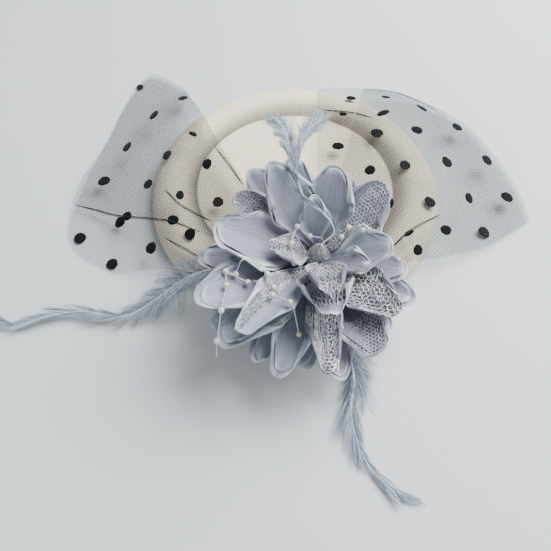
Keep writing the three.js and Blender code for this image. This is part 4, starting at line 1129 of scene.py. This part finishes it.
def plume(name, node, knots, widths, barbs, fluffy, seed, flare, spread, shaft=0.35, locks=46, gather=0.55,
          lies=True, tuft=None):
    """A feather: a thin shaft, barbs down both sides and short hairs on them where it is downy.

    fluffy gives, for a place from 0 to 1 along the shaft, how downy it is there. flare is the barbs'
    angle where it is and isn't, locks how many bundles they part into, gather how tight those are,
    and tuft where stray barbs stand out, to which side and how long."""
    dice = np.random.default_rng(seed)
    spine, at = smooth_path(knots, SPINE_POINTS)
    run = np.concatenate([[0], np.cumsum(np.linalg.norm(np.diff(spine, axis=0), axis=1))])
    run /= run[-1]
    ahead = unit(np.gradient(spine, axis=0))
    half = np.interp(at, np.arange(len(widths)), widths) / 2
    place = np.sort(0.01 + 0.985 * dice.uniform(0, 1, barbs))
    sign = np.where(np.arange(barbs) % 2, 1.0, -1.0)
    bundles = locks * 2 + 6
    lock = (np.floor(place * locks).astype(int) + dice.integers(0, 2, barbs)) * 2 + (sign > 0)
    of_lock = dice.normal(0, 1, (bundles, 4))[lock]
    down = np.interp(place, [p for p, _ in fluffy], [d for _, d in fluffy])
    root, along = (np.stack([np.interp(place, run, line[:, k]) for k in range(3)], 1)
                   for line in (spine, ahead))
    side = unit(np.cross(along, [0, 0, 1.0]))
    lift = np.cross(side, along)
    angle = lerp(flare[1], flare[0], down) + dice.normal(0, 1, barbs) * lerp(2, 6, down)
    angle = np.radians(np.maximum(angle + of_lock[:, 0] * lerp(4, 13, down), 3))
    length = np.interp(place, run, half) * dice.uniform(0.8, 1.1, barbs)
    length = length * (1 + 0.2 * of_lock[:, 1].clip(-1.5, 1.5))
    length = length / np.maximum(np.sin(angle), 0.28) * spread
    length = length * np.where((dice.uniform(0, 1, barbs) < 0.14) & (down > 0.4), 1.4, 1.0)
    if tuft:
        first, last, lean, long = tuft
        stray = (place > first) & (place < last) & (sign * lean >= 0) & (dice.uniform(0, 1, barbs) < 0.7)
        angle = np.where(stray, dice.uniform(0.5, 1.1, barbs), angle)
        length = np.where(stray, long * dice.uniform(0.7, 1.1, barbs), length)
    length, steps = np.clip(length, *BARB_RANGE), BARB_STEPS
    t = np.linspace(0, 1, steps)[None, :, None]
    curl = (dice.normal(0, 0.15, barbs) * down + of_lock[:, 2] * 0.3 * down - 0.22)[:, None, None]
    bent = angle[:, None, None] + curl * t
    direction = along[:, None] * np.cos(bent) + side[:, None] * sign[:, None, None] * np.sin(bent)
    rise = ((dice.normal(0.0, 0.5, barbs) + of_lock[:, 3]) * lerp(0.05, 0.25, down))[:, None, None]
    direction = direction + lift[:, None] * rise * (1 - 0.6 * t)
    seg = (length / (steps - 1))[:, None, None]
    path = root[:, None] + np.cumsum(np.concatenate([np.zeros((barbs, 1, 3)), direction[:, :-1] * seg], 1), 1)
    wobble = dice.normal(0, 1, (barbs, 1, 3)) * np.sin(t * dice.uniform(4, 11, (barbs, 1, 1)))
    wobble = wobble * down[:, None, None] * 0.35
    path = path + wobble * t
    total = np.zeros((bundles, steps, 3))
    np.add.at(total, lock, path)
    number = np.bincount(lock, minlength=bundles)[lock][:, None, None]
    path = path + (total[lock] / number - path) * gather * t ** 1.5
    if lies:
        raised(path)
    girth = lerp(0.135, 0.115, down)[:, None] * BARB_TAPER[None, :]
    parts = [strands(path, girth, flat=BARB_FLATNESS)]
    tint = dice.uniform(0, 1, barbs)
    shades = [np.repeat(np.stack([down, place, tint], 1), steps * 3, axis=0)]
    who, hairs = np.nonzero(down > DOWNY)[0], HAIRS
    if len(who):
        where = dice.uniform(0.08, 1.0, (len(who), hairs)) * (steps - 1)
        i = np.minimum(where.astype(int), steps - 2)
        f = (where - i)[..., None]
        base = path[who[:, None], i] * (1 - f) + path[who[:, None], i + 1] * f
        toward = unit(path[who[:, None], i + 1] - path[who[:, None], i])
        away = unit(dice.normal(0, 1, base.shape))
        tips = base + (toward * 0.75 + away * 0.7) * dice.uniform(0.7, 1.7, (len(who), hairs, 1))
        if lies:
            raised(tips)
        parts.append(strands(np.stack([base, tips], 2).reshape(-1, 2, 3), HAIR_TAPER))
        tint = dice.uniform(0.1, 0.85, len(who))
        shades.append(np.repeat(np.stack([np.ones(len(who)), place[who], tint], 1), hairs * 6, axis=0))
    thick = np.interp(run, [0, 0.1, 1], [shaft, shaft, STEM_TIP])
    parts.append(strands(spine[None], thick[None], STEM_SIDES))
    # The shaft takes the full painted highlight.
    shades.append(np.repeat(np.stack([np.zeros(len(run)), run, np.ones(len(run))], 1), STEM_SIDES, axis=0))
    piece(name, (*joined(parts), np.concatenate(shades)), feather, node)


plume("plume_left", "left_plume", lying(LEFT_PLUME, LEFT_REACH, LEFT_LIFT),
      [row[3] * LEFT_WIDTH for row in LEFT_PLUME], LEFT_BARBS,
      [(0, 1), (0.36, 1), (0.5, 0.45), (0.6, 0.12), (1, 0.05)], LEFT_SEED, (46, 12), 0.88,
      tuft=(0.08, 0.25, 0, 14.0))
plume("plume_front", "front_plume", lying(FRONT_PLUME, FRONT_REACH, FRONT_LIFT),
      [row[3] * FRONT_WIDTH for row in FRONT_PLUME], FRONT_BARBS,
      [(0, 1), (0.36, 1), (0.48, 0.4), (0.6, 0.1), (1, 0.05)], FRONT_SEED, (34, 12), 0.74, locks=34,
      tuft=(0.2, 0.3, -1, 17.0))
for number, rows in enumerate(CROWN_PLUME):
    knots = [FLOWER + np.array(row[:3]) * PETAL_LENGTH for row in rows]
    widths = [max(row[3] * CROWN_WIDTH, CROWN_LEAST) for row in rows]
    plume(f"plume_crown_{number + 1}", "crown_plume", knots, widths, CROWN_BARBS[number],
          [(0, 0.05), (0.45, 0.1), (0.65, 0.8), (1, 1)], CROWN_SEED + number, (32, 9), 1.35, shaft=0.3,
          locks=24, gather=0.2, lies=False)

# Pearls

# right, back and least rise from the flower's foot in petal lengths, and whether a pearl is there
PEARL_STRINGS = {
    "left": [
        [(-0.85, -1.02, 0.2, 0), (-0.84, -0.94, 0.28, 1), (-0.8, -0.77, 0, 1), (-0.77, -0.52, 0, 1),
         (-0.78, -0.4, 0, 1), (-0.6, -0.45, 0, 1), (-0.4, -0.6, 0, 1), (-0.26, -0.68, 0, 1),
         (-0.18, -0.78, 0, 1)],
        [(-0.78, -0.4, 0, 0), (-0.7, -0.4, 0, 1), (-0.58, -0.33, 0, 0), (-0.44, -0.42, 0, 1),
         (-0.39, -0.52, 0, 1), (-0.26, -0.68, 0, 0)],
    ],
    "heart": [
        [(-0.24, -0.1, 0, 1), (-0.23, -0.03, 0, 0), (-0.19, 0.05, 0, 1), (-0.08, 0.03, 0, 1),
         (0.07, 0.06, 0, 0),
         (0.2, 0.07, 0, 1), (0.26, 0.13, 0, 1), (0.37, 0.06, 0, 1)],
    ],
}


def solids_tree(word):
    """What rays hit of the solids with the word in their name, in mm."""
    points, faces, start = [], [], 0
    for name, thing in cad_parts.items():
        if word in name:
            points += [thing.matrix_world @ v.co / MM for v in thing.data.vertices]
            faces += [[start + i for i in p.vertices] for p in thing.data.polygons]
            start = len(points)
    return BVHTree.FromPolygons(points, faces)


petal_tree = solids_tree("petal")
PEARL_SHOWN, FINE_RADIUS, TWIST_RADIUS, TWIST_STEP, TAUT_STEP = 0.86, 0.17, 0.14, 0.9, 2


def rest_height(x, y, radius):
    """Height at which something of this radius clears the petals' solids by the strings' gap."""
    clear, height = radius + STRING_GAP, 0.0
    for share in (0, 0.5, 0.9):
        for i in range(8):
            turn = math.pi / 4 * i
            aside = clear * share
            start = Vector((x + aside * math.cos(turn), y + aside * math.sin(turn), ABOVE_ALL))
            hit = petal_tree.ray_cast(start, DOWN)
            if hit[0] is not None:
                height = max(height, hit[0].z + clear * math.sqrt(1 - share * share))
    return height


def taut(start, end):
    """Points of a thread pulled tight over whatever lies between two places."""
    steps = math.ceil(np.linalg.norm(end - start) / TAUT_STEP)
    points = [lerp(start, end, i / steps) for i in range(steps + 1)]
    for point in points[1:-1]:
        point[2] = rest_height(point[0], point[1], THREAD_RADIUS)
    result = []
    for i, point in enumerate(points):
        z = point[2]
        for a in range(i):
            for b in range(i + 1, steps + 1):
                z = max(z, lerp(points[a][2], points[b][2], (i - a) / (b - a)))
        result.append(np.array([point[0], point[1], z]))
    return result


BALL_AROUND, BALL_UP = 28, 16


def ball(centre, radius):
    around, up = BALL_AROUND, BALL_UP
    turn = circle(around)[:, None]
    tip = np.linspace(0, math.pi, up)[None, :]
    high = np.broadcast_to(np.cos(tip), (around, up))
    grid = np.stack([np.sin(tip) * np.cos(turn), np.sin(tip) * np.sin(turn), high], -1)
    return (centre + radius * grid).reshape(-1, 3), [grid_faces(around, up, wrap=True, flip=True)]


for side, strings in PEARL_STRINGS.items():
    balls, threads = [], []
    for rows in strings:
        knots = []
        for right, back, floor, has_pearl in rows:
            at = FLOWER + np.array([right, back, 0]) * PETAL_LENGTH
            resting = rest_height(at[0], at[1], PEARL_RADIUS if has_pearl else THREAD_RADIUS)
            at[2] = max(resting, FLOWER[2] + floor * PETAL_LENGTH)
            knots.append(at)
            if has_pearl:
                balls.append(ball(at, PEARL_RADIUS * PEARL_SHOWN))
        path = [knots[0]]
        for a, b in zip(knots, knots[1:]):
            path += taut(a, b)[1:]
        fine, _ = smooth_path(path, len(path) * 5)
        for phase in (0, math.pi):
            turn = np.arange(len(fine)) * TWIST_STEP + phase
            twist = fine + TWIST_RADIUS * np.stack([np.cos(turn), np.sin(turn), np.sin(turn + 1)], 1)
            threads.append(strands(twist[None], FINE_RADIUS, 5))
    piece(f"pearls_{side}", joined(balls), pearl, f"pearl_string_{side}")
    piece(f"pearl_thread_{side}", joined(threads), silver_thread, f"pearl_string_{side}")

# Floor and light


FLOOR_HALF, FLOOR_DROP, LIGHT_TARGET = 1.5, 0.0002, (0, -0.03, 0.02)
# name, place, size, power
LIGHTS = (("key", (0.44, 0.27, 0.66), 0.7, 25.0), ("fill", (-0.1, -0.85, 0.45), 0.8, 3.4))
SKY_COLOUR, SKY_STRENGTH = (0.92, 0.96, 1.0, 1), 0.45


def make_stage():
    mesh = bpy.data.meshes.new("floor")
    corners = [(FLOOR_HALF * x, FLOOR_HALF * y, 0) for x, y in ((-1, -1), (1, -1), (1, 1), (-1, 1))]
    mesh.from_pydata(corners, [], [(0, 1, 2, 3)])
    colours = [(0.3, "#c0c6ca"), (0.7, "#c6ccd0")]
    mesh.materials.append(clouded("floor", 3.0, 2.0, 0.5, colours, Roughness=0.9))
    floor = bpy.data.objects.new("floor", mesh)
    bpy.context.scene.collection.objects.link(floor)
    floor.location.z = -FLOOR_DROP
    for name, place, size, power in LIGHTS:
        light = bpy.data.objects.new(name, bpy.data.lights.new(name, "AREA"))
        light.data.energy = power
        light.data.size = size
        light.location = place
        light.rotation_euler = facing(Vector(LIGHT_TARGET) - Vector(place))
        bpy.context.scene.collection.objects.link(light)
    world = bpy.data.worlds.new("studio")
    world.use_nodes = True
    sky = world.node_tree.nodes["Background"]
    sky.inputs["Color"].default_value = SKY_COLOUR
    sky.inputs["Strength"].default_value = SKY_STRENGTH
    bpy.context.scene.world = world


make_stage()

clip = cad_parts["hair_clip"]
clip.data.materials.clear()
clip.data.materials.append(metal)
